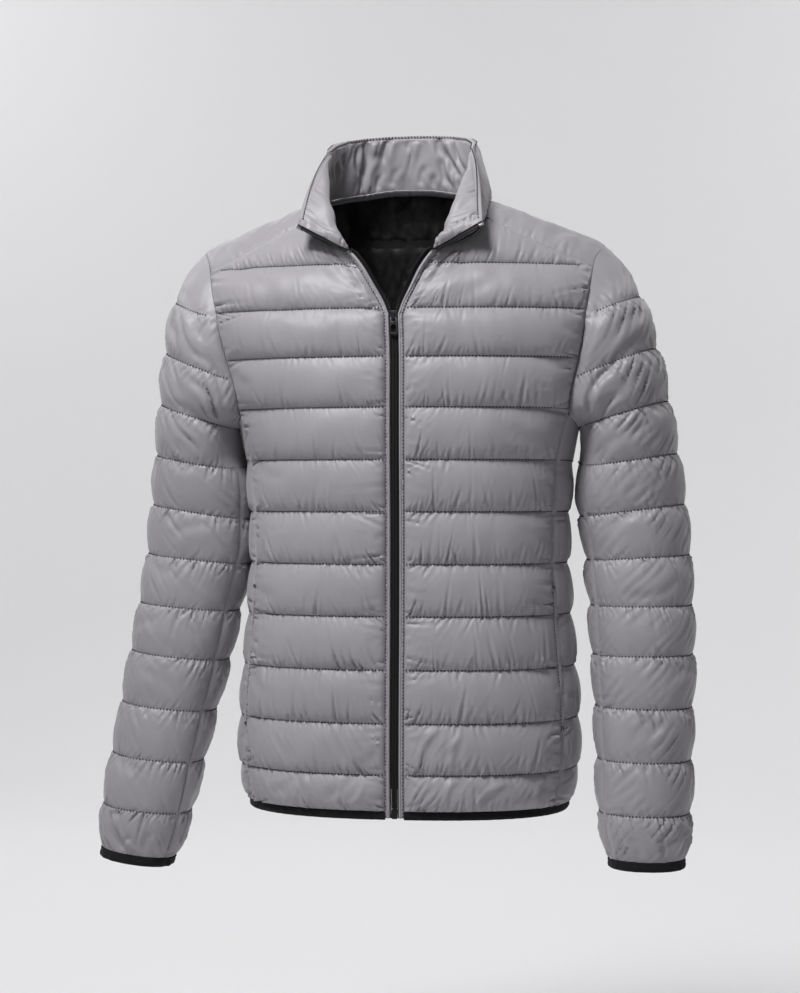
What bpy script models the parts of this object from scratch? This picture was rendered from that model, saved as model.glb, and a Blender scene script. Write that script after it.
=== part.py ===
"""A light quilted jacket with a stand collar, worn by nobody: it keeps the hollow form that a wearer gives it.

Frame: metres, +Z up, the front faces -Y and the wearer's left is +X. The origin is the middle of the neck at the
height where the collar meets the shoulders, which is where a wearer holds the jacket up.

Every panel is a closed wall. Its outer points follow the body form or the arm form, raised between the quilting
seams, and its inner points are plain. A panel's rows run along the quilting, four to a quilted channel.
"""

import math

import bmesh
import bpy
import numpy as np

# ---------------------------------------------------------------- driving sizes
WALL = 0.0025  # two cloths and the thin padding along a seam
PUFF = 0.0075  # how far a body channel stands out of its seams
SLEEVE_PUFF = 0.0060
FLAT_PUFF = 0.0030  # padding in the pieces that are not quilted
SEAM_GAP = 0.0003  # between neighbouring pieces
EDGE_PINCH = 0.011  # how fast the padding thins towards a seamed edge
ROWS_A_CHANNEL = 4

SECTION_POWER = 2.4  # the body's cross-section is a superellipse of this power
FRONT_ROUND = 0.100  # height over which the chest rounds up into the shoulder line
BACK_ROUND = 0.070
SIDE_SHARE_FRONT = 0.93  # where the side panel's seams lie, as a share of the half width
SIDE_SHARE_BACK = 0.94
LEAN = 0.008  # the neck sits this far towards the wearer's right
LEAN_DEPTH = 0.19  # and the lean has died away this far below the neck

ZIP_HALF = 0.0030  # half the zip chain
TAPE_WIDTH = 0.0016  # tape that shows beside the chain
TAPE_THICK = 0.0012
TURN_CLEAR = 0.0012  # the tape stands off the cloth this far where it turns over at the collar's corner
PLACKET_WIDTH = 0.0050  # stitched edge strip beside the tape
HEM_BOTTOM = -0.6525
BINDING_PROUD = 0.0006  # how far a binding stands out of the cloth that it wraps
COLLAR_HEIGHT = 0.062
COLLAR_PAD = 0.0042  # thickness of each of the collar's two layers
COLLAR_EDGE_PAD = 0.0016
ROLL_LENGTH = 0.123  # along the collar, how far back its front corner is folded outwards
ROLL_SOFTNESS = 0.28  # share of the collar's height that the fold takes
FLOP = 0.013  # how far the open front edge stands forwards at the neck
FLOP_WIDTH = 0.022

# height, half width, depth to the front, depth to the back, all at the seams and not on the channels' crests
BODY = np.array([
    (-0.6550, 0.1710, 0.1150, 0.1080),
    (-0.6420, 0.1735, 0.1160, 0.1090),
    (-0.6057, 0.1810, 0.1180, 0.1110),
    (-0.5500, 0.1815, 0.1170, 0.1100),
    (-0.4500, 0.1740, 0.1130, 0.1040),
    (-0.3500, 0.1710, 0.1120, 0.1020),
    (-0.2500, 0.1830, 0.1150, 0.1090),
    (-0.1600, 0.2220, 0.1130, 0.1130),
    (-0.1310, 0.2320, 0.1105, 0.1110),
    (-0.1000, 0.2430, 0.1000, 0.1070),
    (-0.0500, 0.2600, 0.0820, 0.0990),
    (0.0000, 0.2720, 0.0700, 0.0910),
    (0.0600, 0.2800, 0.0600, 0.0800),
])
HEIGHT, HALF_WIDTH, FRONT_DEPTH, BACK_DEPTH = BODY.T

# distance from the middle, height of the shoulder line; inside the neck it runs up a neck that isn't there
SHOULDER = np.array([
    (0.000, 0.0600), (0.050, 0.0450), (0.080, 0.0180), (0.098, 0.0020),
    (0.120, -0.0085), (0.160, -0.0255), (0.2205, -0.0500), (0.270, -0.0740),
])

# heights of the quilting seams, from the hem binding up; the last one is above the panels
QUILT = np.array([
    -0.6435, -0.6057, -0.5528, -0.4977, -0.4425, -0.3883, -0.3337,
    -0.2796, -0.2254, -0.1729, -0.1224, -0.0745, -0.0240, 0.0280,
])

# armhole, from the tip of the shoulder down to where the side panel starts: height, distance from the middle
ARMHOLE_FRONT = np.array([
    (-0.0500, 0.2205), (-0.0550, 0.2150), (-0.0640, 0.2095), (-0.0770, 0.2062), (-0.0980, 0.2025),
    (-0.1240, 0.1972), (-0.1570, 0.1915), (-0.1760, 0.1870), (-0.2045, 0.1795),
])
ARMHOLE_BACK = np.array([
    (-0.0500, 0.2205), (-0.0560, 0.2180), (-0.0700, 0.2145), (-0.0900, 0.2110), (-0.1200, 0.2065),
    (-0.1500, 0.2015), (-0.1800, 0.1930), (-0.2045, 0.1845),
])
SIDE_TOP = -0.2320  # where the side seams reach the armhole
UNDERARM = -0.2450

# neck seam: distance from the middle, height
NECK_FRONT = np.array([
    (0.0980, 0.0020), (0.0976, -0.0100), (0.0965, -0.0240), (0.0880, -0.0380),
    (0.0750, -0.0480), (0.0580, -0.0560), (0.0430, -0.0610),
])
NECK_BACK = np.array([
    (0.0980, 0.0020), (0.0945, 0.0045), (0.0860, 0.0085), (0.0700, 0.0150),
    (0.0500, 0.0200), (0.0250, 0.0240), (0.0000, 0.0250),
])
YOKE_FRONT_DEGREES = (40.0, 47.0)  # how far over the shoulder line the yoke reaches, at the neck and at the armhole
YOKE_BACK_DEGREES = (30.0, 52.0)

# zip edge above the slider: height, distance from the middle
OPEN_EDGE = np.array([(-0.1290, 0.0046), (-0.1150, 0.0100), (-0.0990, 0.0185), (-0.0730, 0.0335), (-0.0610, 0.0430)])
SLIDER = (-0.1352, -0.1253)
PULL_TILT = 7.0  # the pull leans on the chest that swells below it
# the collar's fold and its top edge, from the front corner to the middle of the back
ROLL_MIDDLE = np.array([0.0625, -0.0760, -0.0040])
ROLL_TOP = np.array([0.0785, -0.0080, 0.0610])
COLLAR_CORNER = np.array([0.0970, -0.1000, -0.0330])
COLLAR_FRONT_MIDDLE = np.array([0.0910, -0.0600, 0.0130])
COLLAR_BACK = np.array([
    (0.0785, -0.0080, 0.0610), (0.0765, 0.0200, 0.0745), (0.0680, 0.0420, 0.0815),
    (0.0520, 0.0590, 0.0850), (0.0280, 0.0680, 0.0865), (0.0000, 0.0710, 0.0870),
])
LINING_FROM = 8  # quilting seam from which the back's lining runs up to the neck, as far as it shows
LINING_COLUMNS = 4  # and how many of the back panel's columns it covers on each side of the middle
LINING_THICK = 0.0008

# sleeve sections, one on each quilting seam and one at each end of the cuff binding:
# seam number, outermost point left and right, its height, tilt left and right, width, half depth, forwards
ARM = np.array([
    (0.0, 0.2205, 0.2205, -0.0500, 40.0, 40.0, 0.020, 0.035, 0.000),
    (1.0, 0.2521, 0.2521, -0.1056, 29.0, 31.0, 0.114, 0.066, -0.003),
    (2.0, 0.2662, 0.2662, -0.1607, 22.0, 25.0, 0.110, 0.069, 0.000),
    (3.0, 0.2783, 0.2730, -0.2168, 17.0, 19.0, 0.099, 0.067, 0.003),
    (4.0, 0.2880, 0.2790, -0.2724, 11.0, 13.0, 0.102, 0.064, 0.006),
    (5.0, 0.2956, 0.2840, -0.3263, 7.0, 9.0, 0.106, 0.061, 0.008),
    (6.0, 0.3010, 0.2895, -0.3800, 3.0, 6.0, 0.108, 0.058, 0.006),
    (7.0, 0.3037, 0.2972, -0.4334, 0.0, 5.0, 0.106, 0.055, 0.000),
    (8.0, 0.3044, 0.3054, -0.4855, 0.0, 6.0, 0.104, 0.053, -0.006),
    (9.0, 0.3035, 0.3143, -0.5410, -1.0, 6.0, 0.100, 0.051, -0.013),
    (10.0, 0.3021, 0.3228, -0.5960, -1.0, 6.0, 0.096, 0.049, -0.021),
    (11.0, 0.3010, 0.3311, -0.6510, -1.0, 6.0, 0.093, 0.046, -0.029),
    (12.0, 0.2970, 0.3325, -0.6975, 0.0, 8.0, 0.080, 0.036, -0.036),
    (12.2, 0.2965, 0.3338, -0.7080, 0.0, 8.0, 0.078, 0.035, -0.0376),
])
SEAM_NUMBER, OUT_LEFT, OUT_RIGHT, OUT_HEIGHT, TILT_LEFT, TILT_RIGHT, ARM_WIDTH, ARM_DEPTH, ARM_FORWARD = ARM.T
CUFF_SEAM = 12.0
CUFF_END = 12.2
FULL_RING = 3.0  # from this seam down the sleeve is a whole tube
ARM_POWER = 2.2
SLEEVE_SEAMS = (148.0, -120.0)  # front and back seam between upper and under sleeve, degrees round from the outside
# share of the armhole's length that the sleeve's edge has reached at seams 0 to 3
ARMHOLE_REACHED = ((0.0, 1.0, 2.0, 3.0), (0.0, 0.41, 0.65, 1.0))
EDGE_ANGLE = ((0.0, 1.0, 2.0, 3.0), (0.0, 90.0, 127.0, 180.0))

SHELL = ("shell", (0.30, 0.29, 0.31), 0.45)
LINING = ("lining", (0.012, 0.012, 0.014), 0.55)
BLACK_TAPE = ("binding", (0.015, 0.015, 0.018), 0.70)
ZIP_BLACK = ("zip", (0.02, 0.02, 0.022), 0.40)
ZIP_METAL = ("zip_metal", (0.06, 0.06, 0.065), 0.30)


# ---------------------------------------------------------------- small maths
def curve(xs, ys, x):
    """A smooth curve through the points (xs, ys), held level past its ends."""
    xs, ys = np.asarray(xs, float), np.asarray(ys, float)
    slopes = np.gradient(ys, xs)
    x = np.clip(x, xs[0], xs[-1])
    i = np.clip(np.searchsorted(xs, x) - 1, 0, len(xs) - 2)
    step = xs[i + 1] - xs[i]
    t = (x - xs[i]) / step
    start = (1 + 2 * t) * (1 - t) ** 2 * ys[i] + t * (1 - t) ** 2 * step * slopes[i]
    end = t**2 * (3 - 2 * t) * ys[i + 1] + t**2 * (t - 1) * step * slopes[i + 1]
    return start + end


def ease(t):
    """0 to 1, level at both ends."""
    t = np.clip(t, 0, 1)
    return t * t * (3 - 2 * t)


def signed_power(x, power):
    return np.sign(x) * np.abs(x) ** power


def unit(v):
    return v / np.maximum(np.linalg.norm(v, axis=-1, keepdims=True), 1e-12)


def leaned(points):
    """The same points with the neck's sideways lean."""
    points = points.copy()
    points[..., 0] -= LEAN * ease(1 + points[..., 2] / LEAN_DEPTH)
    return points


def along(points, share):
    """Points at these shares of a polyline's length."""
    steps = np.linalg.norm(np.diff(points, axis=0), axis=1)
    reached = np.concatenate([[0], np.cumsum(steps)])
    wanted = np.asarray(share) * reached[-1]
    return np.stack([np.interp(wanted, reached, points[:, k]) for k in range(3)], axis=-1)


# ---------------------------------------------------------------- body form
def half_width(z):
    return curve(HEIGHT, HALF_WIDTH, z)


def shoulder_height(x):
    return curve(SHOULDER[:, 0], SHOULDER[:, 1], np.abs(x))


def over_shoulder(x, z, rounding):
    """1 on the chest or back, falling to 0 on the shoulder line."""
    drop = np.clip((shoulder_height(x) - z) / rounding, 0, 1)
    return np.sqrt(1 - (1 - drop) ** 2)


def across(x, z):
    share = np.clip(np.abs(x) / half_width(z), 0, 1)
    return (1 - share**SECTION_POWER) ** (1 / SECTION_POWER)


def front_y(x, z):
    return -curve(HEIGHT, FRONT_DEPTH, z) * across(x, z) * over_shoulder(x, z, FRONT_ROUND)


def back_y(x, z):
    return curve(HEIGHT, BACK_DEPTH, z) * across(x, z) * over_shoulder(x, z, BACK_ROUND)


def open_edge_lift(x, z):
    """How far the cloth beside the open zip stands forwards."""
    rise = ease((z - OPEN_EDGE[0, 0]) / (OPEN_EDGE[-1, 0] - OPEN_EDGE[0, 0]))
    from_edge = (x - curve(OPEN_EDGE[:, 0], OPEN_EDGE[:, 1], z)) / FLOP_WIDTH
    return FLOP * rise * np.clip(1 - from_edge, 0, 1.2) ** 1.5


def chest_y(x, z):
    """The front of the body form with its open edges lifted."""
    return front_y(x, z) - open_edge_lift(x, z)


def side_x(y, z):
    """Distance from the middle of the body's side at this depth, below the armhole."""
    depth = np.where(y < 0, curve(HEIGHT, FRONT_DEPTH, z), curve(HEIGHT, BACK_DEPTH, z))
    share = np.clip(np.abs(y) / depth, 0, 0.995)
    return half_width(z) * (1 - share**SECTION_POWER) ** (1 / SECTION_POWER)


def side_edge(z, front):
    """Distance from the middle of the front or back panel's outer edge: armhole above, side seam below."""
    table = ARMHOLE_FRONT if front else ARMHOLE_BACK
    share = SIDE_SHARE_FRONT if front else SIDE_SHARE_BACK
    heights = np.concatenate([[SIDE_TOP], table[::-1, 0]])
    edges = np.concatenate([[share * half_width(SIDE_TOP)], table[::-1, 1]])
    return np.where(z > SIDE_TOP, curve(heights, edges, z), share * half_width(z))


def armhole(front):
    """The armhole's front or back half, from the tip of the shoulder to the underarm."""
    y_at = front_y if front else back_y
    turn = np.linspace(0, math.pi / 2, 40)
    z = ARMHOLE_FRONT[0, 0] + (SIDE_TOP - ARMHOLE_FRONT[0, 0]) * (1 - np.cos(turn))
    x = side_edge(z, front)
    upper = np.stack([x, y_at(x, z), z], axis=-1)
    upper[0, 1] = 0
    y = np.linspace(upper[-1, 1], 0, 16)[1:]
    z = UNDERARM + (SIDE_TOP - UNDERARM) * np.abs(y / upper[-1, 1]) ** 2.2
    lower = np.stack([side_x(y, z), y, z], axis=-1)
    return np.concatenate([upper, lower])


ARMHOLES = {True: armhole(True), False: armhole(False)}
ARMHOLE_MIDDLE = np.array([0.195, 0.0, (ARMHOLE_FRONT[0, 0] + UNDERARM) / 2])


def armhole_outwards(points):
    """Unit vectors that point away from the armhole's middle, which every wall's edge along the armhole follows."""
    away = points - ARMHOLE_MIDDLE
    away[..., 0] = 0
    return unit(away)


def shoulder_point(x, degrees):
    """A point of the body form, this far over the shoulder line: 0 on it, positive on the chest, negative behind."""
    turn = np.radians(degrees)
    rounding = np.where(turn > 0, FRONT_ROUND, BACK_ROUND)
    z = shoulder_height(x) - rounding * (1 - np.cos(turn))
    front = -curve(HEIGHT, FRONT_DEPTH, z) * across(x, z) * np.sin(np.abs(turn))
    back = curve(HEIGHT, BACK_DEPTH, z) * across(x, z) * np.sin(np.abs(turn))
    return np.stack([x + 0 * turn, np.where(turn > 0, front, back), z], axis=-1)


def degrees_over(x, z, rounding):
    return np.degrees(np.arccos(np.clip(1 - (shoulder_height(x) - z) / rounding, -1, 1)))


def yoke_point(u, v):
    """u from the neck to the armhole, v from -1 at the back seam to 1 at the front seam."""
    front_reach = YOKE_FRONT_DEGREES[0] + (YOKE_FRONT_DEGREES[1] - YOKE_FRONT_DEGREES[0]) * u
    back_reach = YOKE_BACK_DEGREES[0] + (YOKE_BACK_DEGREES[1] - YOKE_BACK_DEGREES[0]) * u
    degrees = np.where(v > 0, v * front_reach, v * back_reach)

    def edge_x(front_table, back_table):
        turn_front = degrees_over(front_table[:, 0], front_table[:, 1], FRONT_ROUND)
        turn_back = degrees_over(back_table[:, 0], back_table[:, 1], BACK_ROUND)
        turns = np.concatenate([-turn_back[:0:-1], [0], turn_front[1:]])
        xs = np.concatenate([back_table[:0:-1, 0], front_table[:, 0]])
        return np.interp(degrees, turns, xs)

    arm_front, arm_back = ARMHOLES[True][:30], ARMHOLES[False][:30]
    neck_x = edge_x(NECK_FRONT[:6], NECK_BACK)
    arm_x = edge_x(arm_front[:, [0, 2]], arm_back[:, [0, 2]])
    x = neck_x + (arm_x - neck_x) * u
    return shoulder_point(x, degrees)


def form_normal(x, z, front):
    """Outward normal of the body form, also where it rounds over the shoulder line."""
    step = 1e-3
    turn = np.where(front, degrees_over(x, z, FRONT_ROUND), -degrees_over(x, z, BACK_ROUND))
    turn = np.where(np.abs(turn) < 1.5, 1.5 * np.sign(turn) + 1.5 * (turn == 0), turn)
    along_x = shoulder_point(x + step, turn) - shoulder_point(x - step, turn)
    over = shoulder_point(x, turn + 1.0) - shoulder_point(x, turn - 1.0)
    rounded_off = unit(np.cross(along_x, over))
    rounded_off *= np.where(rounded_off[..., 2:3] < 0, -1, 1)

    def y_at(xx, zz):
        return np.where(front, chest_y(xx, zz), back_y(xx, zz))

    way = np.where(front, -1.0, 1.0) + 0 * x * z
    slope_x = (y_at(x + step, z) - y_at(x - step, z)) / (2 * step)
    slope_z = (y_at(x, z + step) - y_at(x, z - step)) / (2 * step)
    straight = unit(np.stack([-slope_x * way, way, -slope_z * way], axis=-1))
    return np.where((np.abs(turn) < 60)[..., None], rounded_off, straight)


def top_edge(front):
    """The upper edge of the front or back panel, as heights over distances from the middle: neckline, then yoke seam."""
    seam = yoke_point(np.linspace(0, 1, 30), np.full(30, 1.0 if front else -1.0))
    if front:
        neck_z = curve(NECK_FRONT[2:, 0][::-1], NECK_FRONT[2:, 1][::-1], np.linspace(0.043, seam[0, 0], 20)[:-1])
        neck_x = np.linspace(0.043, seam[0, 0], 20)[:-1]
    else:
        neck_x = np.linspace(0, seam[0, 0], 20)[:-1]
        neck_z = curve(NECK_BACK[::-1, 0], NECK_BACK[::-1, 1], neck_x)
    return np.concatenate([neck_x, seam[:, 0]]), np.concatenate([neck_z, seam[:, 2]])


TOP_EDGES = {True: top_edge(True), False: top_edge(False)}


def zip_edge(z):
    """Distance from the middle of the zip tape's outer edge."""
    return np.where(
        z < OPEN_EDGE[0, 0],
        ZIP_HALF + TAPE_WIDTH,
        curve(OPEN_EDGE[:, 0], OPEN_EDGE[:, 1], z),
    )


def placket_edge(z, share=1.0):
    """Distance from the middle of the line at this share of the placket's width."""
    slope = (zip_edge(z + 0.002) - zip_edge(z - 0.002)) / 0.004
    return zip_edge(z) + PLACKET_WIDTH * share * np.sqrt(1 + slope**2)


# ---------------------------------------------------------------- walls
def channel(v):
    """How full a quilted channel is at row position v, 0 on a seam and 1 on the crest."""
    return (1 - np.abs(2 * (v % 1) - 1) ** 2.6) ** 0.7


def pinched(distance):
    """How much of the padding is left at this distance from a seamed edge."""
    return 1 - np.exp(-np.maximum(distance, 0) / EDGE_PINCH)


def material_of(kind):
    name, colour, rough = kind
    material = bpy.data.materials.get(name)
    if material is None:
        material = bpy.data.materials.new(name)
        material.use_nodes = True
        shader = material.node_tree.nodes["Principled BSDF"]
        shader.inputs["Base Color"].default_value = (*colour, 1)
        shader.inputs["Roughness"].default_value = rough
        shader.inputs["Metallic"].default_value = 1.0 if name == "zip_metal" else 0.0
    return material


def node(name, points, faces, kind):
    """One named object from points and faces. Points that coincide are one, and a face that collapses is left out."""
    keys, index, kept = {}, [], []
    for p in np.asarray(points).reshape(-1, 3):
        key = tuple(np.round(p, 6))
        if key not in keys:
            keys[key] = len(kept)
            kept.append(tuple(p))
        index.append(keys[key])
    shape = bmesh.new()
    corners = [shape.verts.new(p) for p in kept]
    for face in faces:
        ring = []
        for i in face:
            if index[i] not in ring:
                ring.append(index[i])
        if len(ring) > 2:
            shape.faces.new([corners[i] for i in ring])
    bmesh.ops.delete(shape, geom=[c for c in shape.verts if not c.link_faces], context="VERTS")
    if shape.calc_volume(signed=True) < 0:
        bmesh.ops.reverse_faces(shape, faces=shape.faces)
    mesh = bpy.data.meshes.new(name)
    shape.to_mesh(mesh)
    shape.free()
    mesh.materials.append(material_of(kind))
    mesh.shade_smooth()
    mesh.set_sharp_from_angle(angle=math.radians(50))
    made = bpy.data.objects.new(name, mesh)
    bpy.data.collections["jacket"].objects.link(made)
    return made


def wall(name, outer, inner, inner_rows, kind, ring=False):
    """A closed wall. outer is rows x columns of points; inner has a row for each outer row named in inner_rows.
    A ring's last column meets its first."""
    rows, columns = outer.shape[:2]
    points = np.concatenate([outer.reshape(-1, 3), inner.reshape(-1, 3)])
    start = rows * columns

    def out(r, c):
        return r * columns + c % columns

    def inn(k, c):
        return start + k * columns + c % columns

    spans = columns if ring else columns - 1
    faces = [(out(r, c), out(r, c + 1), out(r + 1, c + 1), out(r + 1, c)) for r in range(rows - 1) for c in range(spans)]
    for k in range(len(inner_rows) - 1):
        faces += [(inn(k, c), inn(k + 1, c), inn(k + 1, c + 1), inn(k, c + 1)) for c in range(spans)]
    last = len(inner_rows) - 1
    faces += [(out(0, c), inn(0, c), inn(0, c + 1), out(0, c + 1)) for c in range(spans)]
    faces += [(out(rows - 1, c), out(rows - 1, c + 1), inn(last, c + 1), inn(last, c)) for c in range(spans)]
    if not ring:
        for k in range(last):
            end, middle = columns - 1, (inner_rows[k] + inner_rows[k + 1]) // 2
            for r in range(inner_rows[k], inner_rows[k + 1]):
                near = k if r < middle else k + 1
                faces += [(inn(near, 0), out(r, 0), out(r + 1, 0)), (inn(near, end), out(r + 1, end), out(r, end))]
            faces += [(inn(k, 0), out(middle, 0), inn(k + 1, 0)), (inn(k, end), inn(k + 1, end), out(middle, end))]
    return node(name, leaned(points), faces, kind)


def swept(name, rings, kind, closed=False):
    """A solid bar through rings, an array of rings x corners of points, with flat ends unless it closes on itself."""
    count, corners = rings.shape[:2]
    spans = count if closed else count - 1
    faces = []
    for r in range(spans):
        after = (r + 1) % count
        for c in range(corners):
            near = (c + 1) % corners
            faces.append((r * corners + c, r * corners + near, after * corners + near, after * corners + c))
    if not closed:
        faces.append(tuple(range(corners))[::-1])
        faces.append(tuple((count - 1) * corners + c for c in range(corners)))
    return node(name, leaned(rings), faces, kind)


# ---------------------------------------------------------------- body panels
def quilt_height(v):
    return np.interp(v, np.arange(len(QUILT)), QUILT)


def column_x(z, front):
    """Distances from the middle of the half panel's columns at heights z: one half-way to the yoke's corner, one on
    it, and the others closer together towards the side, where the body turns."""
    inset = SEAM_GAP / 2
    corner_x = yoke_point(np.array(0.0), np.array(1.0 if front else -1.0))[0]

    def edges(z):
        inner = placket_edge(np.minimum(z, NECK_FRONT[-1, 1])) + inset if front else 0 * z
        return inner, side_edge(np.minimum(z, ARMHOLE_FRONT[0, 0]), front) - inset

    inner, outer = edges(np.array(0.0))
    corner = (corner_x - inner) / (outer - inner)
    beyond = 1 - (1 - np.linspace(0, 1, HALF_COLUMNS - 2)) ** 1.3
    shares = np.concatenate([[0, corner / 2], corner + (1 - corner) * beyond])
    inner, outer = edges(z)
    return inner + (outer - inner) * shares


def column_tops(front):
    """Where each column runs into the neckline or the yoke seam: distance from the middle, height."""
    z = np.linspace(-0.16, 0.03, 400)[:, None]
    above = z - np.interp(column_x(z, front), *TOP_EDGES[front])
    crossing = np.argmax(above > 0, axis=0)
    every = np.arange(above.shape[1])
    over, under = above[crossing, every], above[crossing - 1, every]
    top = z[crossing, 0] - (z[1, 0] - z[0, 0]) * over / (over - under)
    return column_x(top[:, None], front)[every, every], top


HALF_COLUMNS = 11
COLUMN_TOPS = {True: column_tops(True), False: column_tops(False)}


def panel_rows(last):
    return np.arange(0, last * ROWS_A_CHANNEL + 1) / ROWS_A_CHANNEL


def torso_panel(name, side, front, last_seam):
    """The front panel of one side (side 1 or -1), or the whole back panel (side 0)."""
    v = panel_rows(last_seam)[:, None]
    y_at = chest_y if front else back_y
    ends = COLUMN_TOPS[front][1][None, :] - SEAM_GAP / 2
    z = quilt_height(v)
    z = np.where(z > ends - 0.0025, ends, z)
    x = column_x(z[:, :, None], front)[:, np.arange(HALF_COLUMNS), np.arange(HALF_COLUMNS)]
    turn = np.full(HALF_COLUMNS, side or 1)
    if not side:
        turn = np.concatenate([-turn[1:], turn])
        x, z, ends = (np.concatenate([part[:, :0:-1], part], axis=1) for part in (x, z, ends))
    surface = np.stack([x, y_at(x, z), z], axis=-1)

    normal = form_normal(x, z, front)
    to_outer = side_edge(z, front) - x
    to_inner = x - placket_edge(z) if side else np.full_like(x, 1.0)
    fill = PUFF * channel(v) * pinched(to_outer) * pinched(to_inner) * pinched((ends - z) * 1.5)
    on_armhole = (to_outer < 0.001) & (z > SIDE_TOP)
    edge_out = armhole_outwards(surface.copy())
    normal = np.where(on_armhole[..., None], edge_out, normal)

    outer = surface + normal * fill[..., None]
    inner = surface - normal * WALL
    for points in (outer, inner):
        points[..., 0] *= turn
    keep = [r for r in range(len(v)) if r % (2 if v[r, 0] > 8 else ROWS_A_CHANNEL) == 0]
    wall(name, outer, inner[keep], keep, SHELL)
    if not side:
        rows = [r for r in keep if v[r, 0] >= LINING_FROM]
        columns = slice(HALF_COLUMNS - 1 - LINING_COLUMNS, HALF_COLUMNS + LINING_COLUMNS)
        inwards = -normal * np.stack([turn, 0 * turn + 1, 0 * turn + 1], axis=-1)
        back_lining(inner[rows, columns], inwards[rows, columns])


def back_lining(panel_inside, inwards):
    """Black lining of the back, close inside the back panel's inner points."""
    near = panel_inside + inwards * SEAM_GAP
    far = panel_inside + inwards * (SEAM_GAP + LINING_THICK)
    wall("lining_back", near, far, list(range(len(near))), LINING)


def side_panel(name, side, columns):
    """The panel under the arm, between the front seam and the back seam."""
    full = 7
    v = panel_rows(full + 1)[:, None]
    u = np.linspace(0, 1, columns)[None, :]
    inset = SEAM_GAP / 2

    def edges(z):
        x_front, x_back = side_edge(z, True), side_edge(z, False)
        return front_y(x_front, z) + inset, back_y(x_back, z) - inset

    corner_front, corner_back = edges(np.array(SIDE_TOP))
    y_top = corner_front + (corner_back - corner_front) * u
    reach = np.where(y_top < 0, y_top / corner_front, y_top / corner_back)
    top = UNDERARM + (SIDE_TOP - UNDERARM) * np.abs(reach) ** 2.2 - inset
    z = np.where(v <= full, quilt_height(v), QUILT[full] + (top - QUILT[full]) * np.clip(v - full, 0, 1))
    y_front, y_back = edges(z)
    y = y_front + (y_back - y_front) * u
    surface = np.stack([side_x(y, z), y, z], axis=-1)
    step = 2e-4
    slope_y = (side_x(y + step, z) - side_x(y - step, z)) / (2 * step)
    slope_z = (side_x(y, z + step) - side_x(y, z - step)) / (2 * step)
    normal = unit(np.stack([np.ones_like(y), -slope_y, -slope_z], axis=-1))
    under_arm = ease((z + 0.44) / 0.05) * ease((0.062 - np.abs(y)) / 0.02)
    fill = PUFF * channel(v) * pinched(y - y_front) * pinched(y_back - y) * pinched(top - z) * (1 - 0.75 * under_arm)
    normal[-1] = unit(normal[-1] + np.array([0, 0, -0.6]))
    outer = surface + normal * fill[..., None]
    inner = surface - normal * WALL
    for points in (outer, inner):
        points[..., 0] *= side
    keep = [r for r in range(len(v)) if r % ROWS_A_CHANNEL == 0]
    return wall(name, outer, inner[keep], keep, SHELL)


YOKE_ROWS = np.linspace(-1, 1, 7)


def yoke(name, side):
    """The plain padded piece that runs over the shoulder from the chest to the back. Its columns meet the panels'."""
    along_seam = np.linspace(0, 1, 80)
    seam_u = {}
    for front in (True, False):
        seam_x = yoke_point(along_seam, np.full(80, 1.0 if front else -1.0))[:, 0]
        seam_u[front] = np.interp(COLUMN_TOPS[front][0][2:], seam_x, along_seam)
    v = YOKE_ROWS[:, None] * (1 - SEAM_GAP / 2 / 0.05)
    u = seam_u[False] + (seam_u[True] - seam_u[False]) * (YOKE_ROWS[:, None] + 1) / 2
    u = np.clip(u, SEAM_GAP / 2 / 0.125, 1 - SEAM_GAP / 2 / 0.125)
    v = v + 0 * u
    surface = yoke_point(u, v)
    normal = form_normal(surface[..., 0], surface[..., 2], v > 0)
    ends = pinched(u * 0.125) * pinched((1 - u) * 0.125) * pinched((1 - np.abs(v)) * 0.05)
    normal[:, -1] = armhole_outwards(surface[:, -1].copy())
    outer = surface + normal * (FLAT_PUFF * ends)[..., None]
    inner = surface - normal * WALL
    for points in (outer, inner):
        points[..., 0] *= side
    return wall(name, outer, inner, list(range(len(YOKE_ROWS))), SHELL)


# ---------------------------------------------------------------- sleeves
def sleeve_point(s, degrees, side):
    """A point of the arm form on seam number s, this far round from the outside: positive to the front."""
    out = curve(SEAM_NUMBER, OUT_LEFT if side == 1 else OUT_RIGHT, s)
    tilt = np.radians(curve(SEAM_NUMBER, TILT_LEFT if side == 1 else TILT_RIGHT, s))
    height = curve(SEAM_NUMBER, OUT_HEIGHT, s)
    half = curve(SEAM_NUMBER, ARM_WIDTH, s) / 2
    depth = curve(SEAM_NUMBER, ARM_DEPTH, s)
    forward = curve(SEAM_NUMBER, ARM_FORWARD, s)

    def ring(angle):
        turn = np.radians(angle)
        inward = half * (1 - signed_power(np.cos(turn), 2 / ARM_POWER))
        y = forward - depth * signed_power(np.sin(turn), 2 / ARM_POWER)
        return np.stack([out - inward * np.cos(tilt), y, height - inward * np.sin(tilt)], axis=-1)

    point = ring(degrees)
    # near the body the ring's edges are drawn to the armhole
    reached = np.interp(s, *ARMHOLE_REACHED)
    edge_angle = np.maximum(np.interp(s, *EDGE_ANGLE), 2.0)
    front = degrees >= 0
    edge = np.where(front[..., None], along(ARMHOLES[True], reached), along(ARMHOLES[False], reached))
    miss = edge - ring(np.where(front, edge_angle, -edge_angle))
    pull = np.clip(np.abs(degrees) / edge_angle, 0, 1) ** 3 * (1 - ease((s - FULL_RING) / 1.5))
    point = point + miss * pull[..., None]
    # below the armhole the sleeve lies against the body's side and not through it
    x, y, z = point[..., 0], point[..., 1], point[..., 2]
    clear = side_x(y, np.minimum(z, UNDERARM)) + 0.0042 * ease((UNDERARM - z) / 0.006)
    beside = z < UNDERARM + 0.0005
    point[..., 0] = np.where(beside, np.maximum(x, clear), x)
    return point


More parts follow.
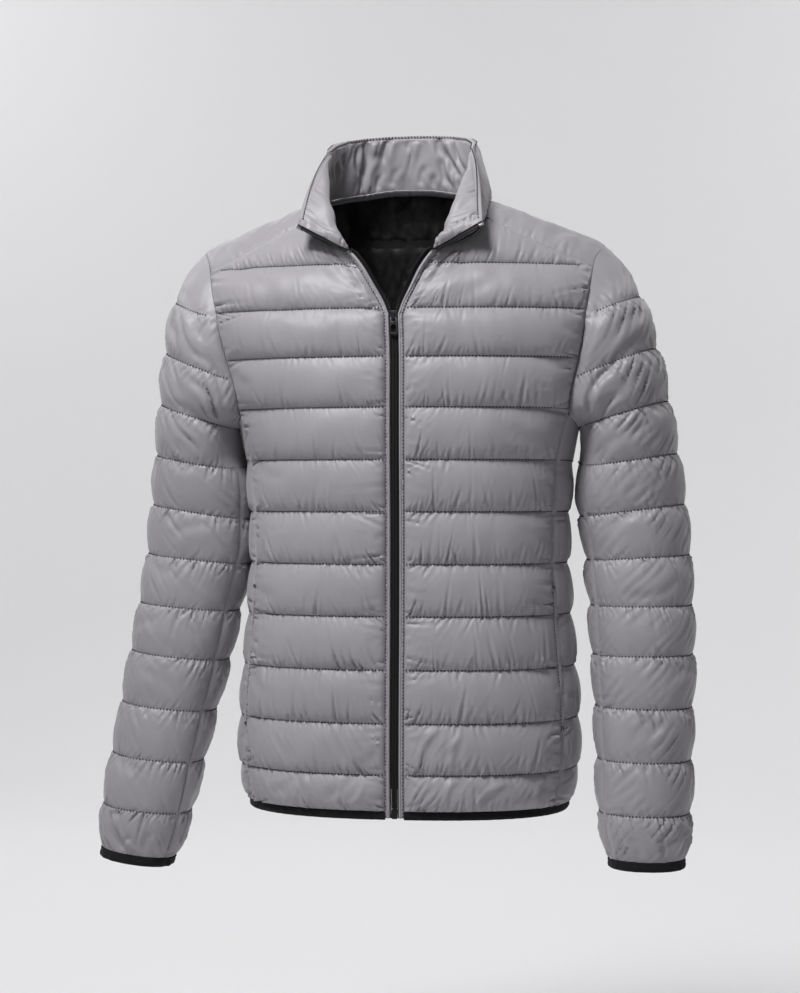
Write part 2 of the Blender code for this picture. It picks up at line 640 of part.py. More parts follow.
def start_seam(degrees):
    """The seam number at which a line along the sleeve leaves the armhole."""
    return np.interp(np.abs(np.round(degrees)), EDGE_ANGLE[1], EDGE_ANGLE[0])


def sleeve_panel(name, side, angles, first_seam, pinch_angles):
    """A sleeve panel from one sleeve seam to the other, angles in degrees round from the outside."""
    rows = np.arange(first_seam * ROWS_A_CHANNEL, CUFF_SEAM * ROWS_A_CHANNEL + 1) / ROWS_A_CHANNEL
    start = start_seam(angles)[None, :]
    s = np.maximum(rows[:, None], start)
    s = np.where((s > start) & (s < start + 0.12), start, s)
    degrees = angles[None, :] + 0 * s
    surface = sleeve_point(s, degrees, side)

    def at(u, w):
        return sleeve_point(w, np.where(np.abs(u) > 180, u - 360 * np.sign(u), u), side)

    inside = np.clip(s, 0.02, CUFF_SEAM - 0.02)
    normal = unit(np.cross(at(degrees + 1.5, inside) - at(degrees - 1.5, inside),
                           at(degrees, inside + 0.02) - at(degrees, inside - 0.02)))
    centre = surface.mean(axis=1, keepdims=True)
    low, high = pinch_angles
    from_edge = np.minimum(np.abs(degrees - low), np.abs(high - degrees)) * math.radians(1) * 0.055
    to_body = ease((s - FULL_RING + 0.6) / 0.6) * (1 - ease((s - 6.2) / 1.2)) * ease((np.abs(degrees) - 110) / 35)
    begin = (s - start) * 0.054
    fill = SLEEVE_PUFF * channel(s) * pinched(from_edge) * pinched(begin) * (1 - 0.95 * to_body)
    edge_row = s <= start + 1e-6
    normal = np.where(edge_row[..., None], armhole_outwards(surface.copy()), normal)
    shift = 3 * SEAM_GAP * (1 + 0.8 * np.exp(-((degrees / 30) ** 2))) * edge_row
    surface[..., 0] += shift
    outer = surface + normal * fill[..., None]
    inner = surface - normal * WALL
    for points in (outer, inner):
        points[..., 0] *= side
    near_body = (FULL_RING + 1.5 - first_seam) * ROWS_A_CHANNEL
    keep = [r for r in range(len(rows)) if r % (2 if r < near_body else ROWS_A_CHANNEL) == 0]
    return outer, inner, keep


def sleeve(side, label):
    front_seam, back_seam = SLEEVE_SEAMS
    gap = math.degrees(SEAM_GAP / 0.055)
    upper = np.concatenate([
        np.linspace(back_seam + gap, -90, 4)[:-1], np.linspace(-90, 90, 11), np.linspace(90, front_seam - gap, 5)[1:],
    ])
    outer, inner, keep = sleeve_panel(f"sleeve_upper_{label}", side, upper, 0, (back_seam, front_seam))
    wall(f"sleeve_upper_{label}", outer, inner[keep], keep, SHELL)
    under = np.linspace(front_seam + gap, 360 + back_seam - gap, 7)
    under = np.where(under > 180, under - 360, under)
    first = 2
    outer, inner, keep = sleeve_panel(f"sleeve_under_{label}", side, under, first, (front_seam, back_seam))
    wall(f"sleeve_under_{label}", outer, inner[keep], keep, SHELL)


# ---------------------------------------------------------------- collar
def three_point(start, middle, end, t):
    """A curve through three points, at 0, 0.5 and 1."""
    t = np.asarray(t)[..., None]
    control = 2 * middle - (start + end) / 2
    return (1 - t) ** 2 * start + 2 * t * (1 - t) * control + t**2 * end


def neck_line():
    """The left half of the neck seam, from the zip round to the middle of the back, through the panels' corners."""
    zip_x = zip_edge(np.array(NECK_FRONT[-1, 1]))
    front_x = np.append(zip_x, COLUMN_TOPS[True][0][:3])
    front_z = np.interp(front_x, *TOP_EDGES[True])
    back_x, back_z = (part[2::-1] for part in COLUMN_TOPS[False])
    return np.concatenate([
        np.stack([front_x, chest_y(front_x, front_z), front_z], axis=-1),
        yoke_point(np.zeros(5), YOKE_ROWS[-2:0:-1]),
        np.stack([back_x, back_y(back_x, back_z), back_z], axis=-1),
    ])


NECK = neck_line()
NECK_AT = np.concatenate([[0], np.cumsum(np.linalg.norm(np.diff(NECK, axis=0), axis=1))])
NECK_LENGTH = float(NECK_AT[-1])
COLLAR_AT = np.sort(np.concatenate([NECK_AT, (NECK_AT[1:5] + NECK_AT[2:6]) / 2]))
SHOULDER_AT = float(NECK_AT[6])  # the neck seam crosses the shoulder line here


def collar_frame(s):
    """Neck seam point, fold point and top edge point at distance s back from the collar's front edge."""
    share = np.clip(s / NECK_LENGTH, 0, 1)
    base = along(NECK, share)
    fold = np.clip(s / ROLL_LENGTH, 0, 1)
    roll = three_point(NECK[0], ROLL_MIDDLE, ROLL_TOP, fold)
    top_front = three_point(COLLAR_CORNER, COLLAR_FRONT_MIDDLE, ROLL_TOP, fold)
    top_back = along(COLLAR_BACK, np.clip((s - ROLL_LENGTH) / (NECK_LENGTH - ROLL_LENGTH), 0, 1))
    behind = (s > ROLL_LENGTH)[..., None]
    return base, np.where(behind, top_back, roll), np.where(behind, top_back, top_front), fold


def collar_point(s, h):
    """The collar's middle surface: s back from its front edge along the neck seam, h from the seam to the top edge."""
    base, roll, top, fold = collar_frame(s)
    split = np.clip(fold, 0.04, 0.96)[..., None]

    def softened(height):
        total = 0
        for k in np.linspace(-1, 1, 13):
            at = height + ROLL_SOFTNESS * k
            total = total + np.where(at < split, base + (roll - base) * at / split,
                                     roll + (top - roll) * (at - split) / (1 - split))
        return total / 13

    # the fold is softened, and what that moves the two edges by is taken back
    height = h[..., None]
    low, high = softened(0 * height), softened(0 * height + 1)
    return softened(height) + (base - low) * (1 - height) ** 2 + (top - high) * height**2


def collar_sheet(rows):
    """Points and outward normals of the collar's middle surface, from the left front edge round to the right one.
    rows are heights from 0 at the seam to 2 at the top edge, with 1 on the fold."""
    s = np.concatenate([COLLAR_AT, COLLAR_AT[-2::-1]])[None, :] + np.zeros((len(rows), 1))
    rows = np.array(rows)[:, None]
    fold = np.clip(s / ROLL_LENGTH, 0.25, 0.75)
    h = np.where(rows < 1, rows * fold, fold + (rows - 1) * (1 - fold))
    point = collar_point(s, h)
    step = 1e-3
    ds = collar_point(np.minimum(s + step, NECK_LENGTH), h) - collar_point(np.maximum(s - step, 0), h)
    dh = collar_point(s, np.minimum(h + 0.02, 1)) - collar_point(s, np.maximum(h - 0.02, 0))
    normal = unit(np.cross(ds, dh))
    # the seam edge steps off the shell by half of the collar's thickness where the two meet at an angle
    base = collar_point(s, 0 * h)
    line = unit(collar_point(np.minimum(s + step, NECK_LENGTH), 0 * h) - collar_point(np.maximum(s - step, 0), 0 * h))
    shell = form_normal(base[..., 0], base[..., 2], s < SHOULDER_AT)
    off = unit(np.cross(line, shell))
    off *= np.sign((off * (np.array([0, -0.01, 0.12]) - base)).sum(axis=-1, keepdims=True))
    rise = unit(collar_point(s, 0 * h + 0.1) - base)
    lean_over = np.sqrt(np.clip(1 - (off * rise).sum(axis=-1) ** 2, 0, 1))
    step_off = SEAM_GAP * 2 + (COLLAR_EDGE_PAD + SEAM_GAP) * lean_over
    off = rise + (off - rise) * ease(s / 0.012)[..., None]
    point = point + off * (step_off * (1 - h) ** 2)[..., None]
    columns = len(COLLAR_AT)
    turn = np.ones(2 * columns - 1)
    turn[columns:] = -1
    point[..., 0] *= turn
    normal[..., 0] *= turn
    normal[:, columns - 1, 0] = 0
    return point, unit(normal), s, h


COLLAR_ROWS = (0.0, 0.20, 0.55, 0.8, 1.0, 1.2, 1.45, 1.85, 2.0)


def collar():
    point, normal, s, h = collar_sheet(COLLAR_ROWS)
    from_edge = np.minimum(np.minimum(h, 1 - h) * COLLAR_HEIGHT, s)
    thick = COLLAR_EDGE_PAD + (COLLAR_PAD - COLLAR_EDGE_PAD) * pinched(from_edge * 1.6)
    thick *= 1 - 0.45 * np.exp(-((s / 0.035) ** 2))
    keep = list(range(len(COLLAR_ROWS)))
    for name, way in (("collar_facing", -1), ("collar_outer", 1)):
        near = point + normal * way * SEAM_GAP / 2
        if way > 0:  # the padding is squeezed inside the fold
            thick = thick * (1 - 0.55 * np.exp(-(((h - np.clip(s / ROLL_LENGTH, 0.1, 1.4)) / 0.22) ** 2)))
        far = point + normal * (way * (SEAM_GAP / 2 + thick))[..., None]
        wall(name, far, near, keep, SHELL)


# ---------------------------------------------------------------- zip
FRONT_ROWS = quilt_height(np.arange(9, 12, 0.25))
FRONT_ROWS = FRONT_ROWS[FRONT_ROWS < NECK_FRONT[-1, 1] - 0.0025]
ZIP_LEVELS = np.concatenate([np.linspace(HEM_BOTTOM + 0.002, FRONT_ROWS[0], 9)[:-1], FRONT_ROWS, [NECK_FRONT[-1, 1]]])
OPEN_FROM = int(np.searchsorted(ZIP_LEVELS, SLIDER[1]))


def zip_path():
    """The left zip edge from the hem to the collar's corner: point in the middle of the wall, way off the cloth for
    each metre, outward normal. Below the neck the steps off the cloth are level, as the panel's rows are."""
    z = ZIP_LEVELS
    x = zip_edge(z)
    slant = np.sqrt(1 + ((zip_edge(z + 0.002) - zip_edge(z - 0.002)) / 0.004) ** 2)
    tiny = 1e-3

    def at(xx, zz):
        return np.stack([xx, chest_y(xx, zz), zz], axis=-1) - form_normal(xx, zz, True) * WALL / 2

    edge = at(x, z)
    shell_normal = form_normal(x, z, True)
    off = (at(x - slant * tiny, z) - at(x + slant * tiny, z)) / 2 / tiny
    point, outwards = collar_sheet((0.5, 1.1, 1.5, 1.88, 2.0))[:2]
    edge = np.concatenate([edge, point[:, 0]])
    tangent = unit(np.gradient(edge, axis=0))
    off = np.concatenate([off, unit(np.cross(outwards[:, 0], tangent[len(z):]))])
    # between the front and the collar the tape turns over, about its own line
    last, turns = len(z) - 1, 6
    share = np.arange(1, turns) / turns
    between = edge[last] + (edge[last + 1] - edge[last]) * share[:, None]
    edge = np.insert(edge, [last + 1] * (turns - 1), between, axis=0)
    off = np.insert(off, [last + 1] * (turns - 1), off[last], axis=0)
    tangent = unit(np.gradient(edge, axis=0))
    forwards = np.array([0, -1.0, 0])
    ahead = unit(forwards - (tangent @ forwards)[:, None] * tangent)
    beside = np.cross(tangent, ahead)
    turn = np.arctan2((off * beside).sum(-1), (off * ahead).sum(-1))
    angle = turn[last] + (turn[last + turns] - turn[last]) * share
    rings = slice(last + 1, last + turns)
    off[rings] = ahead[rings] * np.cos(angle)[:, None] + beside[rings] * np.sin(angle)[:, None]
    edge[rings] += off[rings] * TURN_CLEAR * np.sin(math.pi * share)[:, None]
    edge[last] += unit(off[last]) * TURN_CLEAR / 4
    normal = unit(np.cross(tangent, off))
    normal[:last + 1] = shell_normal
    return edge, off, normal


def bar_along(name, side, rows, profile, kind, late=0):
    """A bar along the zip edge, started this late; profile has steps (off the cloth, outwards)."""
    edge, off, normal = (part[rows] for part in zip_path())
    edge[0] += unit(edge[1] - edge[0]) * late
    rings = np.stack([edge + off * a + normal * b for a, b in profile], axis=1)
    rings[..., 0] *= side
    return swept(name, rings, kind)


def placket(name, side):
    """The folded strip of shell cloth that is stitched down over the zip tape."""
    slant = placket_edge(ZIP_LEVELS) - zip_edge(ZIP_LEVELS)
    gap = SEAM_GAP / 2 / PLACKET_WIDTH
    corners = []
    for share, proud in ((gap, -WALL), (gap, 0.0006), (0.32, 0.0014), (0.8, 0.0008), (1 - gap, 0), (1 - gap, -WALL)):
        x = zip_edge(ZIP_LEVELS) + slant * share
        z = np.append(ZIP_LEVELS[:-1], np.interp(x[-1], *TOP_EDGES[True]) - SEAM_GAP / 2)
        corners.append(np.stack([x, chest_y(x, z), z], axis=-1) + form_normal(x, z, True) * proud)
        corners[-1][:, 0] *= side
    return swept(name, np.stack(corners, axis=1), SHELL)


def prism(name, outline, y_low, y_high, kind, tilt=(0, 0, 0)):
    """A plate: an outline of (x, z) points, pushed through from y_low to y_high, swung outwards by tilt, which is
    degrees and the y and z of the line that it swings about."""
    rings = np.array([[(x, y, z) for x, z in outline] for y in (y_low, y_high)])
    turn = math.radians(tilt[0])
    y, z = rings[..., 1] - tilt[1], rings[..., 2] - tilt[2]
    rings[..., 1] = tilt[1] + y * math.cos(turn) + z * math.sin(turn)
    rings[..., 2] = tilt[2] - y * math.sin(turn) + z * math.cos(turn)
    return swept(name, rings, kind)


def rounded(cx, cz, half_w, half_h, radius, steps=4):
    """Outline of a rectangle with rounded corners."""
    points = []
    for quarter, (sx, sz) in enumerate(((1, 1), (-1, 1), (-1, -1), (1, -1))):
        for k in range(steps + 1):
            turn = math.pi / 2 * (quarter + k / steps)
            points.append((cx + sx * (half_w - radius) + radius * math.cos(turn),
                           cz + sz * (half_h - radius) + radius * math.sin(turn)))
    return points


def cut(target, tool, operation):
    tool.hide_render = True
    step = target.modifiers.new("join" if operation == "UNION" else "cut", "BOOLEAN")
    step.operation = operation
    step.object = tool
    step.solver = "EXACT"


def zip_parts():
    gap = SEAM_GAP / 2
    half = TAPE_THICK / 2
    for side, label in ((1, "left"), (-1, "right")):
        tape = [(gap, -half), (gap, half), (TAPE_WIDTH - gap, half), (TAPE_WIDTH - gap, -half)]
        bar_along(f"zip_tape_{label}", side, slice(0, None), tape, BLACK_TAPE)
        teeth = [(TAPE_WIDTH + 2 * gap, -0.0010), (TAPE_WIDTH + 2 * gap, 0.0010),
                 (TAPE_WIDTH + ZIP_HALF - 0.0008, 0.0009), (TAPE_WIDTH + ZIP_HALF - 0.0008, -0.0009)]
        bar_along(f"zip_teeth_{label}", side, slice(OPEN_FROM, -1), teeth, ZIP_BLACK)
        stop = [(TAPE_WIDTH + gap, -0.0013), (TAPE_WIDTH + gap, 0.0013), (TAPE_WIDTH + ZIP_HALF, 0.0013),
                (TAPE_WIDTH + ZIP_HALF, -0.0013)]
        bar_along(f"zip_stop_{label}", side, slice(-2, None), stop, ZIP_METAL, SEAM_GAP)
        placket(f"placket_{label}", side)
    level = np.concatenate([np.linspace(HEM_BOTTOM + 0.012, -0.18, 9), np.linspace(-0.165, SLIDER[0] - SEAM_GAP, 3)])
    middle = front_y(0 * level, level) + WALL / 2
    inner = ZIP_HALF - gap
    rings = np.stack([np.stack([0 * level + a, middle + b, level], axis=-1)
                      for a, b in ((-inner, -0.0012), (-inner, 0.0012), (inner, 0.0012), (inner, -0.0012))], axis=1)
    swept("zip_chain", rings, ZIP_BLACK)

    # slider: front plate, core and back plate, with a bail for the pull
    z_low, z_high = SLIDER
    z_middle = (z_low + z_high) / 2
    y_tape = float(front_y(0.0, z_middle)) + WALL / 2
    body = [(-0.0044, -0.0030), (0.0044, -0.0030), (0.0044, -0.0016), (0.0012, -0.0016), (0.0012, 0.0016),
            (0.0044, 0.0016), (0.0044, 0.0027), (-0.0044, 0.0027), (-0.0044, 0.0016), (-0.0012, 0.0016),
            (-0.0012, -0.0016), (-0.0044, -0.0016)]
    rings = np.array([[(x * wide, y_tape + y, z) for x, y in body]
                      for z, wide in ((z_low, 0.86), (z_low + 0.0015, 0.97), (z_high - 0.0015, 1.0), (z_high, 0.88))])
    slider = swept("zip_slider", rings, ZIP_METAL)
    face = y_tape - 0.0030
    bail = [(face + 0.0008, z_low + 0.0006), (face - 0.0030, z_low + 0.0006), (face - 0.0030, z_high - 0.0020),
            (face + 0.0008, z_high - 0.0020), (face + 0.0008, z_high - 0.0031), (face - 0.0020, z_high - 0.0031),
            (face - 0.0020, z_low + 0.0016), (face + 0.0008, z_low + 0.0016)]
    rings = np.array([[(x, y, z) for y, z in bail] for x in (-0.0012, 0.0012)])
    cut(slider, swept("slider_bail", rings, ZIP_METAL), "UNION")

    # pull: a flat tab with a slot round the bail and an oval grip hole, hanging on its top bar
    pivot_z, pivot_y = z_low + 0.0026, face - 0.0010
    top, bottom = pivot_z + 0.0006, pivot_z - 0.0186
    outline = rounded(0, (top + bottom) / 2, 0.0044, (top - bottom) / 2, 0.0030)
    tilt = (PULL_TILT, pivot_y, pivot_z)
    pull = prism("zip_pull", outline, pivot_y - 0.0006, pivot_y + 0.0006, ZIP_METAL, tilt)
    slot = prism("pull_slot", rounded(0, pivot_z - 0.0024, 0.0017, 0.0018, 0.0008),
                 pivot_y - 0.002, pivot_y + 0.002, ZIP_METAL, tilt)
    grip = prism("pull_grip", rounded(0, pivot_z - 0.0120, 0.0026, 0.0043, 0.0025),
                 pivot_y - 0.002, pivot_y + 0.002, ZIP_METAL, tilt)
    cut(pull, slot, "DIFFERENCE")
    cut(pull, grip, "DIFFERENCE")

    box_z = (HEM_BOTTOM + 0.0012, HEM_BOTTOM + 0.012 - SEAM_GAP)
    box_y = float(front_y(0.0, HEM_BOTTOM + 0.006)) + WALL / 2
    prism("zip_box", rounded(0, sum(box_z) / 2, ZIP_HALF - gap, (box_z[1] - box_z[0]) / 2, 0.0008, 2),
          box_y - 0.0015, box_y + 0.0015, ZIP_BLACK)


# ---------------------------------------------------------------- bindings
def hem_ring(z, count=46):
    """The hem's outline at height z from one side of the zip round the back to the other."""
    start = float(placket_edge(np.array(HEM_BOTTOM))) + SEAM_GAP
    depth_front, depth_back, half = (float(curve(HEIGHT, t, z)) for t in (FRONT_DEPTH, BACK_DEPTH, HALF_WIDTH))
    first = math.asin((start / half) ** (SECTION_POWER / 2))
    turn = np.linspace(first, 2 * math.pi - first, count)
    x = half * signed_power(np.sin(turn), 2 / SECTION_POWER)
    depth = np.where(np.cos(turn) > 0, depth_front, depth_back)
    y = -depth * signed_power(np.cos(turn), 2 / SECTION_POWER)
    points = np.stack([x, y, np.full_like(x, z)], axis=-1)
    points = along(points, np.linspace(0, 1, count))
    tangent = unit(np.gradient(points, axis=0))
    outward = np.stack([-tangent[:, 1], tangent[:, 0], 0 * tangent[:, 2]], axis=-1)
    outward *= np.sign((outward * points).sum(-1, keepdims=True))
    return points, unit(outward)


def hem_binding():
    top, bottom = QUILT[0] - SEAM_GAP, HEM_BOTTOM
    inside, outside = -WALL - BINDING_PROUD, BINDING_PROUD
    corners = []
    for z, offset in ((top, inside), (top, outside), (bottom + 0.0012, outside + 0.0003), (bottom, outside - 0.0008),
                      (bottom, inside + 0.0008), (bottom + 0.0012, inside)):
        points, outward = hem_ring(z)
        corners.append(points + outward * offset)
    swept("hem_binding", np.stack(corners, axis=1), BLACK_TAPE)


def cuff_binding(side, label):
    degrees = np.concatenate([np.linspace(-180, 180, 27)[:-1]])
    corners = []
    inside, outside = -WALL - BINDING_PROUD, BINDING_PROUD
    low = CUFF_END
    for s, offset in ((CUFF_SEAM + 0.008, inside), (CUFF_SEAM + 0.008, outside), (low - 0.025, outside + 0.0002),
                      (low, outside - 0.0008), (low, inside + 0.0008), (low - 0.025, inside)):
        at = np.full_like(degrees, s)
        points = sleeve_point(at, degrees, side)
        after = sleeve_point(at, np.where(degrees > 178, degrees - 358, degrees + 2), side)
        before = sleeve_point(at, np.where(degrees < -178, degrees + 358, degrees - 2), side)
        axis = sleeve_point(at + 0.05, degrees, side) - sleeve_point(at - 0.05, degrees, side)
        outward = unit(np.cross(after - before, axis))
        outward *= np.sign((outward * (points - points.mean(axis=0))).sum(-1, keepdims=True))
        corners.append(points + outward * offset)
    rings = np.stack(corners, axis=1)
    rings[..., 0] *= side
    swept(f"cuff_binding_{label}", rings, BLACK_TAPE, closed=True)


def build():
    torso_panel("front_left", 1, True, 12)
    torso_panel("front_right", -1, True, 12)
    torso_panel("back", 0, False, 13)
    side_panel("side_left", 1, 6)
    side_panel("side_right", -1, 6)
    yoke("yoke_left", 1)
    yoke("yoke_right", -1)
    sleeve(1, "left")
    sleeve(-1, "right")
    collar()
    hem_binding()
    cuff_binding(1, "left")
    cuff_binding(-1, "right")
    zip_parts()


def clear_scene():
    for thing in list(bpy.data.objects):
        bpy.data.objects.remove(thing)
    collection = bpy.data.collections.new("jacket")
    bpy.context.scene.collection.children.link(collection)


clear_scene()
build()
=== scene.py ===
"""A light quilted jacket with an open stand collar, dressed over its solids.

It keeps the hollow form that a wearer gives it. Metres, +Z up; the front faces -Y, the wearer's left is +X
and the origin is the middle of the neck, where the collar meets the shoulders.
"""

import math

import bmesh
import bpy
import numpy as np
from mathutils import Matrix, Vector


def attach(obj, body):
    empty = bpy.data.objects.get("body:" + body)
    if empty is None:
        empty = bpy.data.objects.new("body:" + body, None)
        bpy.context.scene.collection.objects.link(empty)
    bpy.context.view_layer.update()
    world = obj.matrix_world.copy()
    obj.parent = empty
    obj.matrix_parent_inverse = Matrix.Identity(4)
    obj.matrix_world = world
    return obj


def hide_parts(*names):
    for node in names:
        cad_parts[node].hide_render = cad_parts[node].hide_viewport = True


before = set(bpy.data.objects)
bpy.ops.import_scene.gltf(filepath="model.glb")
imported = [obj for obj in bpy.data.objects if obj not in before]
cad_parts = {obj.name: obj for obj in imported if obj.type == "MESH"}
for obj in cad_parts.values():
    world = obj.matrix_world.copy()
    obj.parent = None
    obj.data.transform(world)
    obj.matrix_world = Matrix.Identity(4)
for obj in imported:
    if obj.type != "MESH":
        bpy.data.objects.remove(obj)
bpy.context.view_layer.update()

# ---------------------------------------------------------------- studio
# A seamless pale floor sweeps up into a backdrop. A soft key light stands high in front, on the wearer's
# right, with weak ones in front on the left and at the side; two more light the backdrop and one the jacket
# from behind. The camera is a little to the wearer's left of the middle, level with the belly.
CAMERA_AIM = Vector((-0.0102, -0.0014, -0.3180))
CAMERA_AZIMUTH = math.radians(8.0)
CAMERA_DISTANCE = 2.2
CAMERA_LENS = 73.2
FLOOR = -1.10
SWEEP_START = 2.7  # how far behind the jacket the floor begins to sweep up
SWEEP_RADIUS = 1.1
STAGE_HALF = 7.0
STAGE_FRONT, STAGE_NEAR = -6.0, -2.0
STAGE_MIDDLE, STAGE_TOP = 2.0, 6.0
PAPER = (0.86, 0.858, 0.87, 1)
SKY, SKY_STRENGTH = (0.97, 0.975, 1.0, 1), 0.04
# name, place, point it looks at, width and height, watts, colour
LIGHTS = [
    ("key", (-0.50, -1.20, 1.54), (0, 0, -0.3), (0.60, 0.60), 55, (1.0, 0.995, 0.99)),
    ("fill", (1.2, -3.0, 0.9), (0, 0, 0.0), (1.4, 1.4), 5, (0.985, 0.99, 1.0)),
    ("side", (-2.6, -1.6, 0.5), (0, 0, -0.3), (1.0, 1.0), 6, (1.0, 1.0, 1.0)),
    ("backdrop_left", (-2.9, 1.8, 1.9), (-0.8, 3.9, 0.1), (2.0, 1.2), 45, (1.0, 1.0, 1.0)),
    ("backdrop_right", (2.9, 1.8, 1.9), (0.8, 3.9, 0.1), (2.0, 1.2), 58, (1.0, 1.0, 1.0)),
    ("behind", (-0.9, 2.5, 1.3), (0, 0, -0.3), (1.6, 1.6), 12, (1.0, 1.0, 1.0)),
]


def set_inputs(node, **values):
    """Sets a node's inputs by name, with _ for each space."""
    for name, value in values.items():
        node.inputs[name.replace("_", " ")].default_value = value


def new_material(name):
    """A new material, with its tree's nodes and links and its shader."""
    material = bpy.data.materials.new(name)
    material.use_nodes = True
    tree = material.node_tree
    return material, tree.nodes, tree.links, tree.nodes["Principled BSDF"]


def linked(name, data):
    """A new object in the scene."""
    made = bpy.data.objects.new(name, data)
    bpy.context.scene.collection.objects.link(made)
    return made


def studio_stage():
    """The floor and backdrop, one smooth sheet."""
    profile = [(STAGE_FRONT, FLOOR), (STAGE_NEAR, FLOOR)]
    profile += [(SWEEP_START + SWEEP_RADIUS * math.sin(a), FLOOR + SWEEP_RADIUS * (1 - math.cos(a)))
                for a in np.linspace(0, math.pi / 2, 25)]
    profile += [(SWEEP_START + SWEEP_RADIUS, height) for height in (STAGE_MIDDLE, STAGE_TOP)]
    points = [(x, y, z) for y, z in profile for x in (-STAGE_HALF, STAGE_HALF)]
    faces = [(2 * k, 2 * k + 1, 2 * k + 3, 2 * k + 2) for k in range(len(profile) - 1)]
    mesh = bpy.data.meshes.new("stage")
    mesh.from_pydata(points, [], faces)
    mesh.shade_smooth()
    paper, _, _, shader = new_material("stage_paper")
    set_inputs(shader, Base_Color=PAPER, Roughness=0.9, Specular_IOR_Level=0.1)
    mesh.materials.append(paper)
    stage = linked("stage", mesh)


def soft_light(name, place, aim, size, watts, colour):
    """A square area light that looks from place towards aim."""
    lamp = bpy.data.lights.new(name, "AREA")
    lamp.shape = "RECTANGLE"
    lamp.size, lamp.size_y = size
    lamp.energy = watts
    lamp.color = colour
    holder = linked(name, lamp)
    holder.location = place
    holder.rotation_euler = (Vector(aim) - Vector(place)).to_track_quat("-Z", "Y").to_euler()


def studio_camera():
    lens = bpy.data.cameras.new("camera")
    lens.lens = CAMERA_LENS
    lens.sensor_width = 36.0
    camera = linked("camera", lens)
    away = Vector((math.sin(CAMERA_AZIMUTH), -math.cos(CAMERA_AZIMUTH), 0))
    camera.location = CAMERA_AIM + away * CAMERA_DISTANCE
    camera.rotation_euler = (-away).to_track_quat("-Z", "Y").to_euler()
    bpy.context.scene.camera = camera


studio_camera()
studio_stage()
for light in LIGHTS:
    soft_light(*light)
world = bpy.data.worlds.new("studio")
bpy.context.scene.world = world
world.use_nodes = True
set_inputs(world.node_tree.nodes["Background"], Color=SKY, Strength=SKY_STRENGTH)
bpy.context.scene.view_settings.view_transform = "Standard"

# ---------------------------------------------------------------- fronts
# Two quilted panels of thin woven nylon over a padding of loose fibre, cut from the hem to the yoke and sewn
# through along level seams. The seams' thread draws the cloth up, so short creases stand out from every line
# of stitching.
WALL = 0.0025  # the layers sewn flat at a seam
PUFF = 0.0074  # how far a channel's crest stands out of its seams
EDGE_PINCH = 0.010  # how fast the padding thins towards a seamed edge
STITCH_PROUD = 0.0010  # how far the thread's middle lies out of a quilting seam
DEEPEST = 0.0008  # a crease never presses the cloth in further than this
SEAM_DIP, SEAM_DIP_WIDE = 0.0008, 0.0015  # the groove along a seam between two pieces
COLUMN_STEP = 0.0015  # spacing of the cloth's points along a channel
ROWS_A_CHANNEL = 24
INNER_STEP = 4  # the plain inner layer has one point for so many of the outer one's
SECTION_POWER = 2.4
FRONT_ROUND, BACK_ROUND = 0.100, 0.070
SIDE_SHARE_FRONT, SIDE_SHARE_BACK = 0.93, 0.94
LEAN, LEAN_DEPTH = 0.008, 0.19
ZIP_HALF, TAPE_WIDTH, PLACKET_WIDTH = 0.0030, 0.0016, 0.0050
FLOP, FLOP_WIDTH = 0.013, 0.022
CREST_LOW = 0.84  # below 1 the crest lies under the channel's middle, where the padding settles
CREASE_DEPTH, CREASE_REACH = 0.0021, 0.015  # of the creases that stand out from a quilting seam
CREASE_SPACING, FINE_SPACING = 0.0065, 0.0038
EDGE_REACH = 0.018  # of those along a seam between two pieces
CREASE_WIDE, CREASE_WIDER = 0.0010, 0.0011  # a crease's least half width, and how much more it may have
FROM_TOP, FROM_SIDE, FROM_ZIP = 0.004, 0.002, 0.001  # quilting stitches end this far from a piece's edges
FRONT_EDGES = (0.0013, 0.0016, 0.0008)  # depth of the creases beside the zip, the side seam and the top
TOP_SPAN = (-0.16, 0.03)  # the body panels' upper edges lie between these heights
PANEL_WIDTH = 0.18  # half of the body's front or back, along a channel
FRONT_SEAMS = 12
DRAG_TILT = 55  # degrees off the level at which the chest's long creases run
FRONT_DRAG = (0.0010, 0.014)  # their depth and spacing

# height, half width, depth to the front, depth to the back
BODY = np.array([
    (-0.6550, 0.1710, 0.1150, 0.1080),
    (-0.6420, 0.1735, 0.1160, 0.1090),
    (-0.6057, 0.1810, 0.1180, 0.1110),
    (-0.5500, 0.1815, 0.1170, 0.1100),
    (-0.4500, 0.1740, 0.1130, 0.1040),
    (-0.3500, 0.1710, 0.1120, 0.1020),
    (-0.2500, 0.1830, 0.1150, 0.1090),
    (-0.1600, 0.2220, 0.1130, 0.1130),
    (-0.1310, 0.2320, 0.1105, 0.1110),
    (-0.1000, 0.2430, 0.1000, 0.1070),
    (-0.0500, 0.2600, 0.0820, 0.0990),
    (0.0000, 0.2720, 0.0700, 0.0910),
    (0.0600, 0.2800, 0.0600, 0.0800),
])
HEIGHT, HALF_WIDTH, FRONT_DEPTH, BACK_DEPTH = BODY.T
# distance from the middle, height of the shoulder line
SHOULDER = np.array([
    (0.000, 0.0600), (0.050, 0.0450), (0.080, 0.0180), (0.098, 0.0020),
    (0.120, -0.0085), (0.160, -0.0255), (0.2205, -0.0500), (0.270, -0.0740),
])
# heights of the quilting seams, from the hem binding up
QUILT = np.array([
    -0.6435, -0.6057, -0.5528, -0.4977, -0.4425, -0.3883, -0.3337,
    -0.2796, -0.2254, -0.1729, -0.1224, -0.0745, -0.0240, 0.0280,
])
